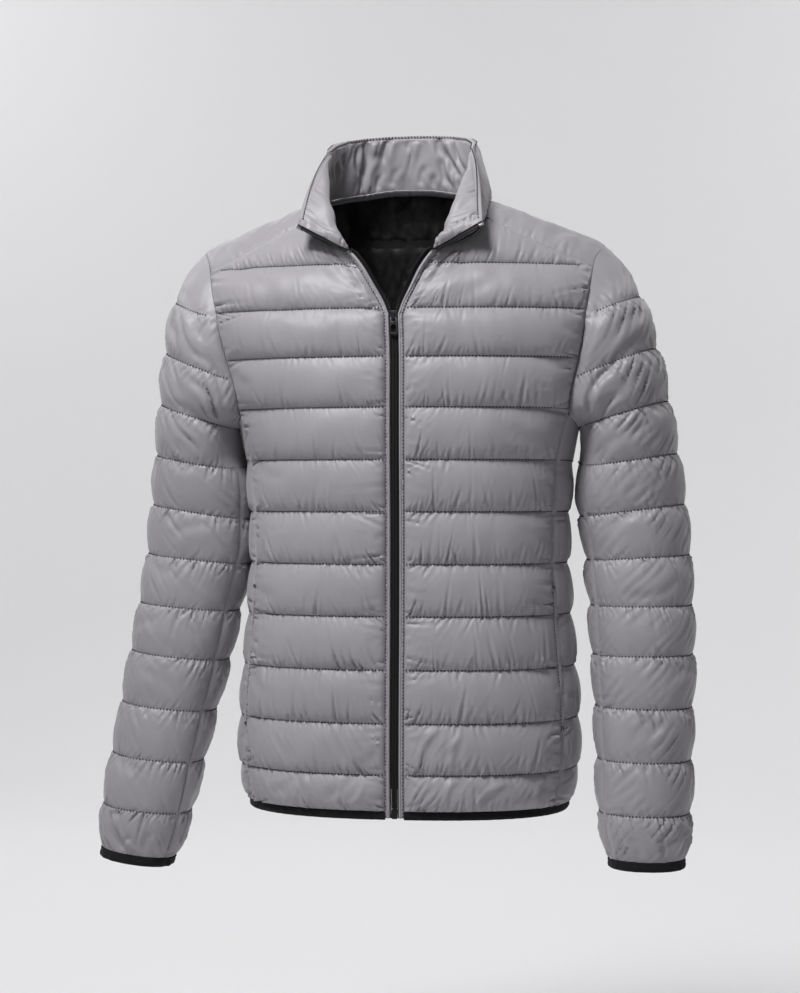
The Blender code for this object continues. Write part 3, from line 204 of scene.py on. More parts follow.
# armhole from the tip of the shoulder down: height, distance from the middle
ARMHOLE_FRONT = np.array([
    (-0.0500, 0.2205), (-0.0550, 0.2150), (-0.0640, 0.2095), (-0.0770, 0.2062), (-0.0980, 0.2025),
    (-0.1240, 0.1972), (-0.1570, 0.1915), (-0.1760, 0.1870), (-0.2045, 0.1795),
])
ARMHOLE_BACK = np.array([
    (-0.0500, 0.2205), (-0.0560, 0.2180), (-0.0700, 0.2145), (-0.0900, 0.2110), (-0.1200, 0.2065),
    (-0.1500, 0.2015), (-0.1800, 0.1930), (-0.2045, 0.1845),
])
SIDE_TOP, UNDERARM = -0.2320, -0.2450
UNDERARM_POWER = 2.2  # roundness of the armhole's lower end
# neck seam: distance from the middle, height
NECK_FRONT = np.array([
    (0.0980, 0.0020), (0.0976, -0.0100), (0.0965, -0.0240), (0.0880, -0.0380),
    (0.0750, -0.0480), (0.0580, -0.0560), (0.0430, -0.0610),
])
NECK_BACK = np.array([
    (0.0980, 0.0020), (0.0945, 0.0045), (0.0860, 0.0085), (0.0700, 0.0150),
    (0.0500, 0.0200), (0.0250, 0.0240), (0.0000, 0.0250),
])
YOKE_FRONT_DEGREES, YOKE_BACK_DEGREES = (40.0, 47.0), (30.0, 52.0)
# zip edge above the slider: height, distance from the middle
OPEN_EDGE = np.array([
    (-0.1290, 0.0046), (-0.1150, 0.0100), (-0.0990, 0.0185), (-0.0730, 0.0335), (-0.0610, 0.0430),
])

# soft folds across a front: start (distance from the middle, height), end, half width and depth, all in
# metres; a trough is positive and a ridge negative
FOLDS_FRONT_LEFT = [
    (0.020, -0.100, 0.085, -0.062, 0.0065, 0.0016), (0.030, -0.118, 0.120, -0.080, 0.0080, 0.0011),
    (0.150, -0.115, 0.195, -0.150, 0.0060, 0.0014), (0.140, -0.165, 0.192, -0.185, 0.0055, 0.0012),
    (0.120, -0.590, 0.165, -0.628, 0.0050, 0.0014), (0.060, -0.600, 0.110, -0.632, 0.0055, 0.0013),
    (0.105, -0.470, 0.165, -0.505, 0.0060, 0.0010), (0.020, -0.560, 0.075, -0.585, 0.0060, 0.0010),
    (0.100, -0.236, 0.165, -0.262, 0.0065, 0.0010), (0.125, -0.345, 0.168, -0.372, 0.0055, 0.0011),
    (0.045, -0.555, 0.025, -0.606, 0.0036, -0.0019), (0.069, -0.560, 0.060, -0.603, 0.0034, -0.0017),
    (0.064, -0.608, 0.052, -0.634, 0.0034, -0.0017), (0.120, -0.611, 0.078, -0.642, 0.0034, -0.0019),
    (0.151, -0.610, 0.140, -0.636, 0.0036, -0.0015),
]
FOLDS_FRONT_RIGHT = [
    (0.025, -0.105, 0.075, -0.066, 0.0065, 0.0014), (0.060, -0.135, 0.140, -0.105, 0.0080, 0.0010),
    (0.120, -0.100, 0.180, -0.060, 0.0075, 0.0012), (0.150, -0.200, 0.185, -0.178, 0.0055, 0.0012),
    (0.030, -0.592, 0.080, -0.632, 0.0055, 0.0014), (0.095, -0.595, 0.140, -0.634, 0.0050, 0.0014),
    (0.012, -0.575, 0.050, -0.600, 0.0050, 0.0010), (0.130, -0.530, 0.166, -0.490, 0.0055, 0.0011),
    (0.110, -0.300, 0.166, -0.272, 0.0065, 0.0010), (0.125, -0.425, 0.168, -0.400, 0.0055, 0.0010),
    (0.143, -0.611, 0.132, -0.638, 0.0034, -0.0015), (0.099, -0.606, 0.090, -0.642, 0.0034, -0.0019),
    (0.056, -0.611, 0.063, -0.638, 0.0034, -0.0015), (0.031, -0.613, 0.046, -0.638, 0.0032, -0.0017),
]

# the open zip's edge stands forwards, so the cloth dips beside it, and the strip's stitching ripples the
# cloth between
FOLDS_AT_NECK = [
    (0.053, -0.063, 0.015, -0.124, 0.0032, 0.0034), (0.040, -0.064, 0.014, -0.110, 0.0016, 0.0012),
    (0.038, -0.075, 0.046, -0.068, 0.0016, 0.0013), (0.032, -0.083, 0.042, -0.076, 0.0017, 0.0014),
    (0.028, -0.092, 0.036, -0.084, 0.0016, 0.0013), (0.024, -0.100, 0.032, -0.093, 0.0016, 0.0013),
    (0.020, -0.108, 0.027, -0.101, 0.0016, 0.0012), (0.070, -0.060, 0.046, -0.086, 0.0030, 0.0014),
]


def curve(xs, ys, x):
    """A smooth curve through the points (xs, ys), held level past its ends."""
    xs, ys = np.asarray(xs, float), np.asarray(ys, float)
    slopes = np.gradient(ys, xs)
    x = np.clip(x, xs[0], xs[-1])
    i = np.clip(np.searchsorted(xs, x) - 1, 0, len(xs) - 2)
    step = xs[i + 1] - xs[i]
    t = (x - xs[i]) / step
    start = (1 + 2 * t) * (1 - t) ** 2 * ys[i] + t * (1 - t) ** 2 * step * slopes[i]
    end = t**2 * (3 - 2 * t) * ys[i + 1] + t**2 * (t - 1) * step * slopes[i + 1]
    return start + end


def ease(t):
    """0 to 1, level at both ends."""
    t = np.clip(t, 0, 1)
    return t * t * (3 - 2 * t)


def unit(v):
    return v / np.maximum(np.linalg.norm(v, axis=-1, keepdims=True), 1e-12)


def along(points, share):
    """Points at these shares of a polyline's length."""
    steps = np.linalg.norm(np.diff(points, axis=0), axis=1)
    reached = np.concatenate([[0], np.cumsum(steps)])
    wanted = np.asarray(share) * reached[-1]
    return np.stack([np.interp(wanted, reached, points[:, k]) for k in range(3)], axis=-1)


def leaned(points):
    """The same points with the neck's sideways lean."""
    points = points.copy()
    points[..., 0] -= LEAN * ease(1 + points[..., 2] / LEAN_DEPTH)
    return points


def half_width(z):
    return curve(HEIGHT, HALF_WIDTH, z)


def shoulder_height(x):
    return curve(SHOULDER[:, 0], SHOULDER[:, 1], np.abs(x))


def over_shoulder(x, z, rounding):
    """1 on the chest or back, falling to 0 on the shoulder line."""
    drop = np.clip((shoulder_height(x) - z) / rounding, 0, 1)
    return np.sqrt(1 - (1 - drop) ** 2)


def across(x, z):
    share = np.clip(np.abs(x) / half_width(z), 0, 1)
    return (1 - share**SECTION_POWER) ** (1 / SECTION_POWER)


def front_y(x, z):
    return -curve(HEIGHT, FRONT_DEPTH, z) * across(x, z) * over_shoulder(x, z, FRONT_ROUND)


def back_y(x, z):
    return curve(HEIGHT, BACK_DEPTH, z) * across(x, z) * over_shoulder(x, z, BACK_ROUND)


def chest_y(x, z):
    """The front with its open edges standing forwards at the neck."""
    rise = ease((z - OPEN_EDGE[0, 0]) / (OPEN_EDGE[-1, 0] - OPEN_EDGE[0, 0]))
    from_edge = (x - curve(OPEN_EDGE[:, 0], OPEN_EDGE[:, 1], z)) / FLOP_WIDTH
    return front_y(x, z) - FLOP * rise * np.clip(1 - from_edge, 0, 1.2) ** 1.5


def side_edge(z, front):
    """Distance from the middle of the panel's outer edge: armhole above, side seam below."""
    table = ARMHOLE_FRONT if front else ARMHOLE_BACK
    share = SIDE_SHARE_FRONT if front else SIDE_SHARE_BACK
    heights = np.concatenate([[SIDE_TOP], table[::-1, 0]])
    edges = np.concatenate([[share * half_width(SIDE_TOP)], table[::-1, 1]])
    return np.where(z > SIDE_TOP, curve(heights, edges, z), share * half_width(z))


def side_x(y, z):
    """Distance from the middle of the body's side at this depth, below the armhole."""
    depth = np.where(y < 0, curve(HEIGHT, FRONT_DEPTH, z), curve(HEIGHT, BACK_DEPTH, z))
    share = np.clip(np.abs(y) / depth, 0, 0.995)
    return half_width(z) * (1 - share**SECTION_POWER) ** (1 / SECTION_POWER)


def armhole(front):
    """The armhole's front or back half, from the tip of the shoulder to the underarm."""
    y_at = front_y if front else back_y
    turn = np.linspace(0, math.pi / 2, 120)
    z = ARMHOLE_FRONT[0, 0] + (SIDE_TOP - ARMHOLE_FRONT[0, 0]) * (1 - np.cos(turn))
    x = side_edge(z, front)
    upper = np.stack([x, y_at(x, z), z], axis=-1)
    upper[0, 1] = 0
    y = np.linspace(upper[-1, 1], 0, 50)[1:]
    z = UNDERARM + (SIDE_TOP - UNDERARM) * np.abs(y / upper[-1, 1]) ** UNDERARM_POWER
    lower = np.stack([side_x(y, z), y, z], axis=-1)
    return np.concatenate([upper, lower])


ARMHOLES = {True: armhole(True), False: armhole(False)}
ARMHOLE_MIDDLE = np.array([0.195, 0.0, (ARMHOLE_FRONT[0, 0] + UNDERARM) / 2])


def armhole_outwards(points):
    """Unit vectors away from the armhole's middle, which both walls' edges along the armhole follow."""
    away = points - ARMHOLE_MIDDLE
    away[..., 0] = 0
    return unit(away)


def shoulder_point(x, degrees):
    """A point this far over the shoulder line: 0 on it, positive on the chest, negative behind."""
    turn = np.radians(degrees)
    rounding = np.where(turn > 0, FRONT_ROUND, BACK_ROUND)
    z = shoulder_height(x) - rounding * (1 - np.cos(turn))
    front = -curve(HEIGHT, FRONT_DEPTH, z) * across(x, z) * np.sin(np.abs(turn))
    back = curve(HEIGHT, BACK_DEPTH, z) * across(x, z) * np.sin(np.abs(turn))
    return np.stack([x + 0 * turn, np.where(turn > 0, front, back), z], axis=-1)


def degrees_over(x, z, rounding):
    return np.degrees(np.arccos(np.clip(1 - (shoulder_height(x) - z) / rounding, -1, 1)))


def yoke_point(u, v):
    """u from the neck to the armhole, v from -1 at the back seam to 1 at the front seam."""
    front_reach = YOKE_FRONT_DEGREES[0] + (YOKE_FRONT_DEGREES[1] - YOKE_FRONT_DEGREES[0]) * u
    back_reach = YOKE_BACK_DEGREES[0] + (YOKE_BACK_DEGREES[1] - YOKE_BACK_DEGREES[0]) * u
    degrees = np.where(v > 0, v * front_reach, v * back_reach)

    def edge_x(front_table, back_table):
        turn_front = degrees_over(front_table[:, 0], front_table[:, 1], FRONT_ROUND)
        turn_back = degrees_over(back_table[:, 0], back_table[:, 1], BACK_ROUND)
        turns = np.concatenate([-turn_back[:0:-1], [0], turn_front[1:]])
        xs = np.concatenate([back_table[:0:-1, 0], front_table[:, 0]])
        return np.interp(degrees, turns, xs)

    neck_x = edge_x(NECK_FRONT[:6], NECK_BACK)
    arm_x = edge_x(ARMHOLES[True][:90][:, [0, 2]], ARMHOLES[False][:90][:, [0, 2]])
    return shoulder_point(neck_x + (arm_x - neck_x) * u, degrees)


def form_normal(x, z, front):
    """Outward normal of the body form, also where it rounds over the shoulder line."""
    step = 1e-3
    turn = np.where(front, degrees_over(x, z, FRONT_ROUND), -degrees_over(x, z, BACK_ROUND))
    turn = np.where(np.abs(turn) < 1.5, 1.5 * np.sign(turn) + 1.5 * (turn == 0), turn)
    along_x = shoulder_point(x + step, turn) - shoulder_point(x - step, turn)
    over = shoulder_point(x, turn + 1.0) - shoulder_point(x, turn - 1.0)
    rounded_off = unit(np.cross(along_x, over))
    rounded_off *= np.where(rounded_off[..., 2:3] < 0, -1, 1)

    def y_at(xx, zz):
        return np.where(front, chest_y(xx, zz), back_y(xx, zz))

    way = np.where(front, -1.0, 1.0) + 0 * x * z
    slope_x = (y_at(x + step, z) - y_at(x - step, z)) / (2 * step)
    slope_z = (y_at(x, z + step) - y_at(x, z - step)) / (2 * step)
    straight = unit(np.stack([-slope_x * way, way, -slope_z * way], axis=-1))
    share = ease((np.abs(turn) - 45) / 30)[..., None]
    return unit(rounded_off * (1 - share) + straight * share)


def top_edge(front):
    """The panel's upper edge, as heights over distances from the middle: neckline, then yoke seam."""
    seam = yoke_point(np.linspace(0, 1, 120), np.full(120, 1.0 if front else -1.0))
    if front:
        neck_x = np.linspace(0.043, seam[0, 0], 80)[:-1]
        neck_z = curve(NECK_FRONT[2:, 0][::-1], NECK_FRONT[2:, 1][::-1], neck_x)
    else:
        neck_x = np.linspace(0, seam[0, 0], 80)[:-1]
        neck_z = curve(NECK_BACK[::-1, 0], NECK_BACK[::-1, 1], neck_x)
    return np.concatenate([neck_x, seam[:, 0]]), np.concatenate([neck_z, seam[:, 2]])


TOP_EDGES = {True: top_edge(True), False: top_edge(False)}


def zip_edge(z):
    """Distance from the middle of the zip tape's outer edge."""
    return np.where(z < OPEN_EDGE[0, 0], ZIP_HALF + TAPE_WIDTH, curve(OPEN_EDGE[:, 0], OPEN_EDGE[:, 1], z))


def placket_edge(z, share=1.0):
    """Distance from the middle of the line at this share of the edge strip's width."""
    slope = (zip_edge(z + 0.002) - zip_edge(z - 0.002)) / 0.004
    return zip_edge(z) + PLACKET_WIDTH * share * np.sqrt(1 + slope**2)


def pinched(distance):
    """How much of the padding is left at this distance from a seamed edge."""
    return 1 - np.exp(-np.maximum(distance, 0) / EDGE_PINCH)


def channel(v):
    """How full a quilted channel is at seam number v, 0 on a seam and 1 on the crest."""
    place = (v % 1) ** CREST_LOW
    return (1 - np.abs(2 * place - 1) ** 2.2) ** 0.94


def channel_rows(first, last):
    """Seam numbers of the cloth's rows, closer together beside the seams."""
    t = np.arange(ROWS_A_CHANNEL) / ROWS_A_CHANNEL
    t = t - 0.5 * np.sin(2 * math.pi * t) / (2 * math.pi)
    return np.concatenate([*(k + t for k in range(first, last)), [last]])


def waves(u, w, seed, length, angle, spread, count=16):
    """Smooth noise of about unit height on metres u and w: waves of about this length, that run at this angle
    give or take the spread."""
    rng = np.random.default_rng(seed)
    total = 0
    for _ in range(count):
        turn = math.radians(angle + spread * rng.uniform(-1, 1))
        size = 2 * math.pi / (length * 2 ** rng.uniform(-0.6, 0.6))
        total = total + np.cos(size * (u * math.cos(turn) + w * math.sin(turn)) + rng.uniform(0, 2 * math.pi))
    return total / math.sqrt(count / 2)


def creases(run, away, seam, seed, depth, reach, spacing=CREASE_SPACING, bias=0.0):
    """Short sharp creases that stand out from a line of stitching: run is the way along it, away the distance
    from it and seam the line's number. Each has its own place, length, depth and lean, to which bias adds.
    The result is a height."""
    rng = np.random.default_rng(seed)
    seam, away = seam.astype(int) - int(seam.min()), np.maximum(away, 0)
    start = float(run.min()) - spacing
    cells = int((float(run.max()) - start) / spacing) + 3
    place, size, length, lean, strength = rng.random((5, int(seam.max()) + 1, cells))
    beside = np.floor((run - start) / spacing).astype(int)
    height = 0 * run * away
    for step in (-1, 0, 1):
        cell = np.clip(beside + step, 0, cells - 1)
        centre = start + (cell + 0.1 + 0.8 * place[seam, cell]) * spacing
        long = reach * (0.42 + 1.4 * length[seam, cell] ** 2)
        wide = CREASE_WIDE + CREASE_WIDER * size[seam, cell]
        off = np.abs(run - centre - (0.9 * (lean[seam, cell] - 0.5) + bias) * away)
        shape = np.exp(-((off / wide) ** 2)) - 0.45 * np.exp(-(((off - 1.9 * wide) / (1.1 * wide)) ** 2))
        fade = np.exp(-((away / long) ** 1.7)) * (1 - np.exp(-away / 0.0012))
        height = height - depth * (0.2 + 1.5 * strength[seam, cell] ** 1.6) * shape * fade
    return height


def folds(u, w, table):
    """Soft troughs and ridges laid across a panel, as listed in the table."""
    depth = 0 * u
    for u0, w0, u1, w1, wide, deep in table:
        long = math.hypot(u1 - u0, w1 - w0)
        du, dw = (u1 - u0) / long, (w1 - w0) / long
        t = (u - u0) * du + (w - w0) * dw
        off = -(u - u0) * dw + (w - w0) * du + 0.12 * long * np.sin(math.pi * np.clip(t / long, 0, 1))
        shape = np.exp(-((off / wide) ** 2)) - 0.45 * np.exp(-(((off - 1.9 * wide) / (1.3 * wide)) ** 2))
        depth -= deep * shape * ease(t / (0.3 * long)) * ease((long - t) / (0.3 * long))
    return depth


def drags(u, w, seed, angle, depth, spacing=0.012):
    """Long sharp creases that run at this angle, each fading in and out. The result is a height."""
    lines = waves(u, w, seed, spacing, angle + 90, 9, 8)
    cover = np.clip(0.45 + 0.6 * waves(u, w, seed + 1, 0.050, angle + 40, 80), 0, 1.2)
    shape = np.exp(-((lines / 0.55) ** 2)) - 0.35 * np.exp(-(((np.abs(lines) - 1.20) / 0.50) ** 2))
    return -depth * shape * cover


def quilt_relief(run, up, v, fill, seed, depth=CREASE_DEPTH, edges=(), bias=0.0, gather=1.0):
    """Height of the quilted cloth over its form: the channel's padding, less its creases. run and up are
    metres along and across the channels, v the seam number, fill the share of padding and edges the seamed
    edges, as the distance from each, the way along it and the depth of its creases. bias leans the creases,
    and gather deepens them."""
    pitch = np.abs(np.gradient(up, axis=0)).sum(axis=0).mean() / (v.max() - v.min())
    uneven = 1 + 0.05 * waves(run, up, seed, 0.090, 10, 25)
    height = PUFF * channel(v) * fill * uneven
    below, above = (v % 1) * pitch, (1 - v % 1) * pitch
    short = CREASE_REACH * 0.5
    fine = gather * creases(run, below, np.floor(v), seed + 2, depth, CREASE_REACH, bias=bias)
    fine += gather * creases(run, above, np.ceil(v - 1e-9), seed + 3, depth * 0.55, short, bias=-bias)
    fine += gather * creases(run, below, np.floor(v), seed + 6, depth * 0.6, short, FINE_SPACING, bias)
    soft = 0.00016 * waves(run, up, seed + 4, 0.030, 5, 25)
    height = height + (fine + soft * np.minimum(1, channel(v) * 1.3)) * np.clip(fill * 1.6, 0, 1)
    for number, (away, way_along, deep) in enumerate(edges):
        away = np.maximum(away, 0)
        gathered = 0.6 * deep * ease(away / 0.004) * np.exp(-((away / 0.011) ** 2))
        gathered -= SEAM_DIP * np.exp(-((away / SEAM_DIP_WIDE) ** 2))
        height += gathered + creases(way_along, away, 0 * run, seed + 10 + number, 1.1 * deep, EDGE_REACH)
    return np.maximum(height, -DEEPEST)


def cloth_mesh(name, grids, faces, face_kinds, uv, materials):
    """One mesh object from points and quads. Points that coincide are one, and a quad that has lost a corner
    is a triangle. face_kinds are material numbers, uv a pair for each point."""
    points = grids.reshape(-1, 3)
    _, first, merged = np.unique(np.round(points, 7), axis=0, return_index=True, return_inverse=True)
    merged = merged.reshape(-1)
    corner = merged[faces]
    same = corner == np.roll(corner, -1, axis=1)
    crossed = (corner[:, 0] == corner[:, 2]) | (corner[:, 1] == corner[:, 3])
    whole = ~same.any(axis=1) & ~crossed
    three = (same.sum(axis=1) == 1) & ~crossed
    keep3 = ~same[three]
    loops = [faces[whole].reshape(-1), faces[three][keep3]]
    sizes = np.concatenate([np.full(whole.sum(), 4), np.full(three.sum(), 3)])
    kinds = np.concatenate([face_kinds[whole], face_kinds[three]])
    loops = np.concatenate(loops)
    mesh = bpy.data.meshes.new(name)
    mesh.vertices.add(len(first))
    mesh.vertices.foreach_set("co", points[first].astype(np.float32).reshape(-1))
    mesh.loops.add(len(loops))
    mesh.loops.foreach_set("vertex_index", merged[loops].astype(np.int32))
    mesh.polygons.add(len(sizes))
    mesh.polygons.foreach_set("loop_start", (np.cumsum(sizes) - sizes).astype(np.int32))
    mesh.polygons.foreach_set("material_index", kinds.astype(np.int32))
    mesh.update(calc_edges=True)
    layer = mesh.uv_layers.new(name="cloth")
    layer.uv.foreach_set("vector", uv.reshape(-1, 2)[loops].astype(np.float32).reshape(-1))
    shape = bmesh.new()
    shape.from_mesh(mesh)
    if shape.calc_volume(signed=True) < 0:
        bmesh.ops.reverse_faces(shape, faces=shape.faces)
    shape.to_mesh(mesh)
    shape.free()
    mesh.validate()
    mesh.shade_smooth()
    mesh.set_sharp_from_angle(angle=math.radians(58))
    for material in materials:
        mesh.materials.append(material)
    return linked(name, mesh)


def cloth_wall(name, outer, inner, uv, materials):
    """A closed wall of cloth. outer and inner are the same grid of points, of which the inner layer keeps one
    in INNER_STEP each way. uv is metres along and across the quilting."""
    step = INNER_STEP
    rows, columns = outer.shape[:2]
    inner = inner[::step, ::step]
    thin_rows, thin_columns = inner.shape[:2]
    start = rows * columns
    grid = np.arange(start).reshape(rows, columns)
    thin = start + np.arange(thin_rows * thin_columns).reshape(thin_rows, thin_columns)

    def quads(g):
        return np.stack([g[:-1, :-1], g[:-1, 1:], g[1:, 1:], g[1:, :-1]], axis=-1).reshape(-1, 4)

    rim = []

    def border(fine, coarse, flip):
        for k in range(len(coarse) - 1):
            a, middle, b = k * step, k * step + step // 2, (k + 1) * step
            for j in range(a, b):
                near = coarse[k] if j < middle else coarse[k + 1]
                rim.append((near, fine[j + 1], fine[j], near) if flip else (near, fine[j], fine[j + 1], near))
            last = (coarse[k], coarse[k + 1], fine[middle], coarse[k])
            rim.append(last if flip else last[::-1])

    border(grid[0], thin[0], True)
    border(grid[-1], thin[-1], False)
    border(grid[:, 0], thin[:, 0], False)
    border(grid[:, -1], thin[:, -1], True)
    faces = np.concatenate([quads(grid), quads(thin)[:, ::-1], np.array(rim)])
    kinds = np.zeros(len(faces), int)
    kinds[len(quads(grid)):len(quads(grid)) + len(quads(thin))] = len(materials) - 1
    points = np.concatenate([outer.reshape(-1, 3), inner.reshape(-1, 3)])
    pairs = np.concatenate([uv.reshape(-1, 2), uv[::step, ::step].reshape(-1, 2)])
    return cloth_mesh(name, leaned(points), faces, kinds, pairs, materials)


def cloth_map(nodes):
    """The output of the cloth's own map, in metres along it and across."""
    uv = nodes.new("ShaderNodeUVMap")
    uv.uv_map = "cloth"
    return uv.outputs["UV"]


def texture(nodes, links, kind, vector, **values):
    """A new noise or wave texture on a vector output."""
    made = nodes.new(f"ShaderNodeTex{kind}")
    set_inputs(made, **values)
    links.new(vector, made.inputs["Vector"])
    return made


def two_tone(nodes, links, share, dark, light, places=(0.0, 1.0)):
    """The colour between dark and light at this share, each pure at its place."""
    ramp = nodes.new("ShaderNodeValToRGB")
    for element, place, colour in zip(ramp.color_ramp.elements, places, (dark, light)):
        element.position, element.color = place, (*colour, 1)
    links.new(share, ramp.inputs["Fac"])
    return ramp.outputs["Color"]


def uneven_gloss(nodes, links, share, low, high, shader):
    """Roughness from low to high by this share."""
    gloss = nodes.new("ShaderNodeMapRange")
    set_inputs(gloss, To_Min=low, To_Max=high)
    links.new(share, gloss.inputs["Value"])
    links.new(gloss.outputs["Result"], shader.inputs["Roughness"])


def bumped(nodes, links, height, strength, distance):
    """A new bump node on a height output."""
    bump = nodes.new("ShaderNodeBump")
    set_inputs(bump, Strength=strength, Distance=distance)
    links.new(height, bump.inputs["Height"])
    return bump


def shell_cloth():
    """Grey downproof nylon: a fine plain weave with a soft satin sheen and fine creases."""
    material, nodes, links, shader = new_material("shell_nylon")
    uv = cloth_map(nodes)
    place = nodes.new("ShaderNodeTexCoord").outputs["Object"]
    tone = texture(nodes, links, "Noise", place, Scale=9.0, Detail=4.0).outputs["Fac"]
    dark, light = (0.296, 0.283, 0.308), (0.334, 0.320, 0.347)
    links.new(two_tone(nodes, links, tone, dark, light, (0.30, 0.72)), shader.inputs["Base Color"])
    uneven_gloss(nodes, links, tone, 0.42, 0.50, shader)
    set_inputs(shader, Specular_IOR_Level=0.36, Sheen_Weight=0.18, Sheen_Roughness=0.45)
    # fine creases across the channels, longer than they are wide
    stretch = nodes.new("ShaderNodeMapping")
    set_inputs(stretch, Scale=(1.0, 0.30, 1.0))
    links.new(uv, stretch.inputs["Vector"])
    wrinkle = texture(nodes, links, "Noise", stretch.outputs["Vector"],
                      Scale=190.0, Detail=2.5, Roughness=0.45, Distortion=0.5)
    # soft crumple at all angles
    crumple = texture(nodes, links, "Noise", uv, Scale=70.0, Detail=3.0)
    both = nodes.new("ShaderNodeMath")
    both.operation = "MULTIPLY_ADD"
    both.inputs[1].default_value = 0.45
    links.new(wrinkle.outputs["Fac"], both.inputs[0])
    links.new(crumple.outputs["Fac"], both.inputs[2])
    folded = bumped(nodes, links, both.outputs["Value"], 0.11, 0.0018)
    # plain weave, three threads to two millimetres
    weave = nodes.new("ShaderNodeMath")
    weave.operation = "ADD"
    for number, way in enumerate("XY"):
        thread = texture(nodes, links, "Wave", uv, Scale=480.0, Distortion=0.4, Detail=1.0)
        thread.bands_direction = way
        links.new(thread.outputs["Fac"], weave.inputs[number])
    woven = bumped(nodes, links, weave.outputs["Value"], 0.06, 0.0002)
    links.new(folded.outputs["Normal"], woven.inputs["Normal"])
    links.new(woven.outputs["Normal"], shader.inputs["Normal"])
    return material


def lining_cloth():
    """Black lining: a thin smooth weave with faint creases."""
    material, nodes, links, shader = new_material("lining_black")
    place = nodes.new("ShaderNodeTexCoord").outputs["Object"]
    tone = texture(nodes, links, "Noise", place, Scale=28.0, Detail=5.0).outputs["Fac"]
    colour = two_tone(nodes, links, tone, (0.005, 0.005, 0.006), (0.012, 0.012, 0.0135))
    links.new(colour, shader.inputs["Base Color"])
    set_inputs(shader, Roughness=0.55, Specular_IOR_Level=0.30)
    links.new(bumped(nodes, links, tone, 0.35, 0.003).outputs["Normal"], shader.inputs["Normal"])
    return material


SHELL_CLOTH = shell_cloth()
LINING_CLOTH = lining_cloth()
SEWN_LINES = []  # points along each line of stitching, and the ways out of the cloth there


def sew(outer, normal, rows, keep):
    """Marks these rows of a cloth's outer points as stitched, as far as keep says."""
    for row in rows:
        line, out = outer[row][keep[row]], normal[row][keep[row]]
        if len(line) > 3:
            SEWN_LINES.append((line + out * STITCH_PROUD, out))


def quilting(points):
    """The numbers of the rows that lie on a quilting seam."""
    return range(ROWS_A_CHANNEL, len(points) - 1, ROWS_A_CHANNEL)


def on_armhole(to_side, z, surface, normal):
    """The normals, turned away from the armhole's middle along its edge."""
    edge = (to_side < 1e-6) & (z > SIDE_TOP)
    return np.where(edge[..., None], armhole_outwards(surface.copy()), normal)


def wall_points(surface, normal, height, way):
    """A wall's outer and inner points, on the wearer's left where way is 1 and on the right where it's -1."""
    outer, inner = surface + normal * height[..., None], surface - normal * WALL
    for points in (outer, inner):
        points[..., 0] *= way
    return outer, inner


def counted(length, step):
    """A number of points about this far apart that the thin inner layer's step divides."""
    return int(math.ceil(length / step / INNER_STEP)) * INNER_STEP + 1


def body_columns(z, front, shares):
    inner = placket_edge(np.minimum(z, NECK_FRONT[-1, 1])) if front else 0 * z
    outer = side_edge(np.minimum(z, ARMHOLE_FRONT[0, 0]), front)
    return inner + (outer - inner) * shares


def body_grid(front, last_seam, width):
    """Distances from the middle, heights and seam numbers of half a panel's points, and each column's top."""
    v = channel_rows(0, last_seam)[:, None]
    t = np.linspace(0, 1, counted(width, COLUMN_STEP))
    shares = t - 0.10 * np.sin(2 * math.pi * t) / (2 * math.pi)
    z = np.linspace(*TOP_SPAN, 1200)[:, None]
    above = z - np.interp(body_columns(z, front, shares), *TOP_EDGES[front])
    crossing = np.argmax(above > 0, axis=0)
    every = np.arange(len(shares))
    over, under = above[crossing, every], above[crossing - 1, every]
    ends = z[crossing, 0] - (z[1, 0] - z[0, 0]) * over / (over - under)
    z = np.interp(v, np.arange(len(QUILT)), QUILT) + 0 * shares
    z = np.where(z > ends - 0.0009, ends, z)
    v = np.interp(z, QUILT, np.arange(len(QUILT)))
    x = body_columns(z, front, shares)
    return x, z, v, ends


def front_panel(label, side, table, seed):
    x, z, v, ends = body_grid(True, FRONT_SEAMS, PANEL_WIDTH)
    surface = np.stack([x, chest_y(x, z), z], axis=-1)
    normal = form_normal(x, z, True)
    to_side, to_zip, to_top = side_edge(z, True) - x, x - placket_edge(z), (ends - z) * 1.4
    fill = pinched(to_side) * pinched(to_zip * 1.3) * pinched(to_top)
    edges = list(zip((to_zip, to_side, to_top), (z, z, x), FRONT_EDGES))
    by_zip = np.exp(-to_zip / 0.030)
    calm = 0.55 + 0.45 * ease((8 - v) / 4)  # the chest is drawn smoother than the belly
    gather = (1 + 0.3 * by_zip) * calm
    height = quilt_relief(x, z, v, fill, seed, edges=edges, bias=1.1 * by_zip, gather=gather)
    dragged = 0.25 * calm + 0.45 * by_zip + 0.7 * (v < 2)
    height += drags(x, z, seed + 20, DRAG_TILT, *FRONT_DRAG) * dragged * channel(v)
    height += folds(x, z, table + FOLDS_AT_NECK) * np.clip(fill * 2, 0, 1)
    normal = on_armhole(to_side, z, surface, normal)
    outer, inner = wall_points(surface, normal, height, side)
    inside = (ends - z > FROM_TOP) & (to_side > FROM_SIDE) & (to_zip > FROM_ZIP)
    sew(outer, normal * np.array([side, 1, 1]), quilting(z), inside)
    uv = np.stack([x, z], -1)
    panel = cloth_wall(f"front_{label}_cloth", outer, inner, uv, [SHELL_CLOTH, LINING_CLOTH])
    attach(panel, "jacket")
    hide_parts(f"front_{label}")
    return panel


FRONTS = (("left", 1, FOLDS_FRONT_LEFT, 11), ("right", -1, FOLDS_FRONT_RIGHT, 37))
for label, side, table, seed in FRONTS:
    panel = front_panel(label, side, table, seed)

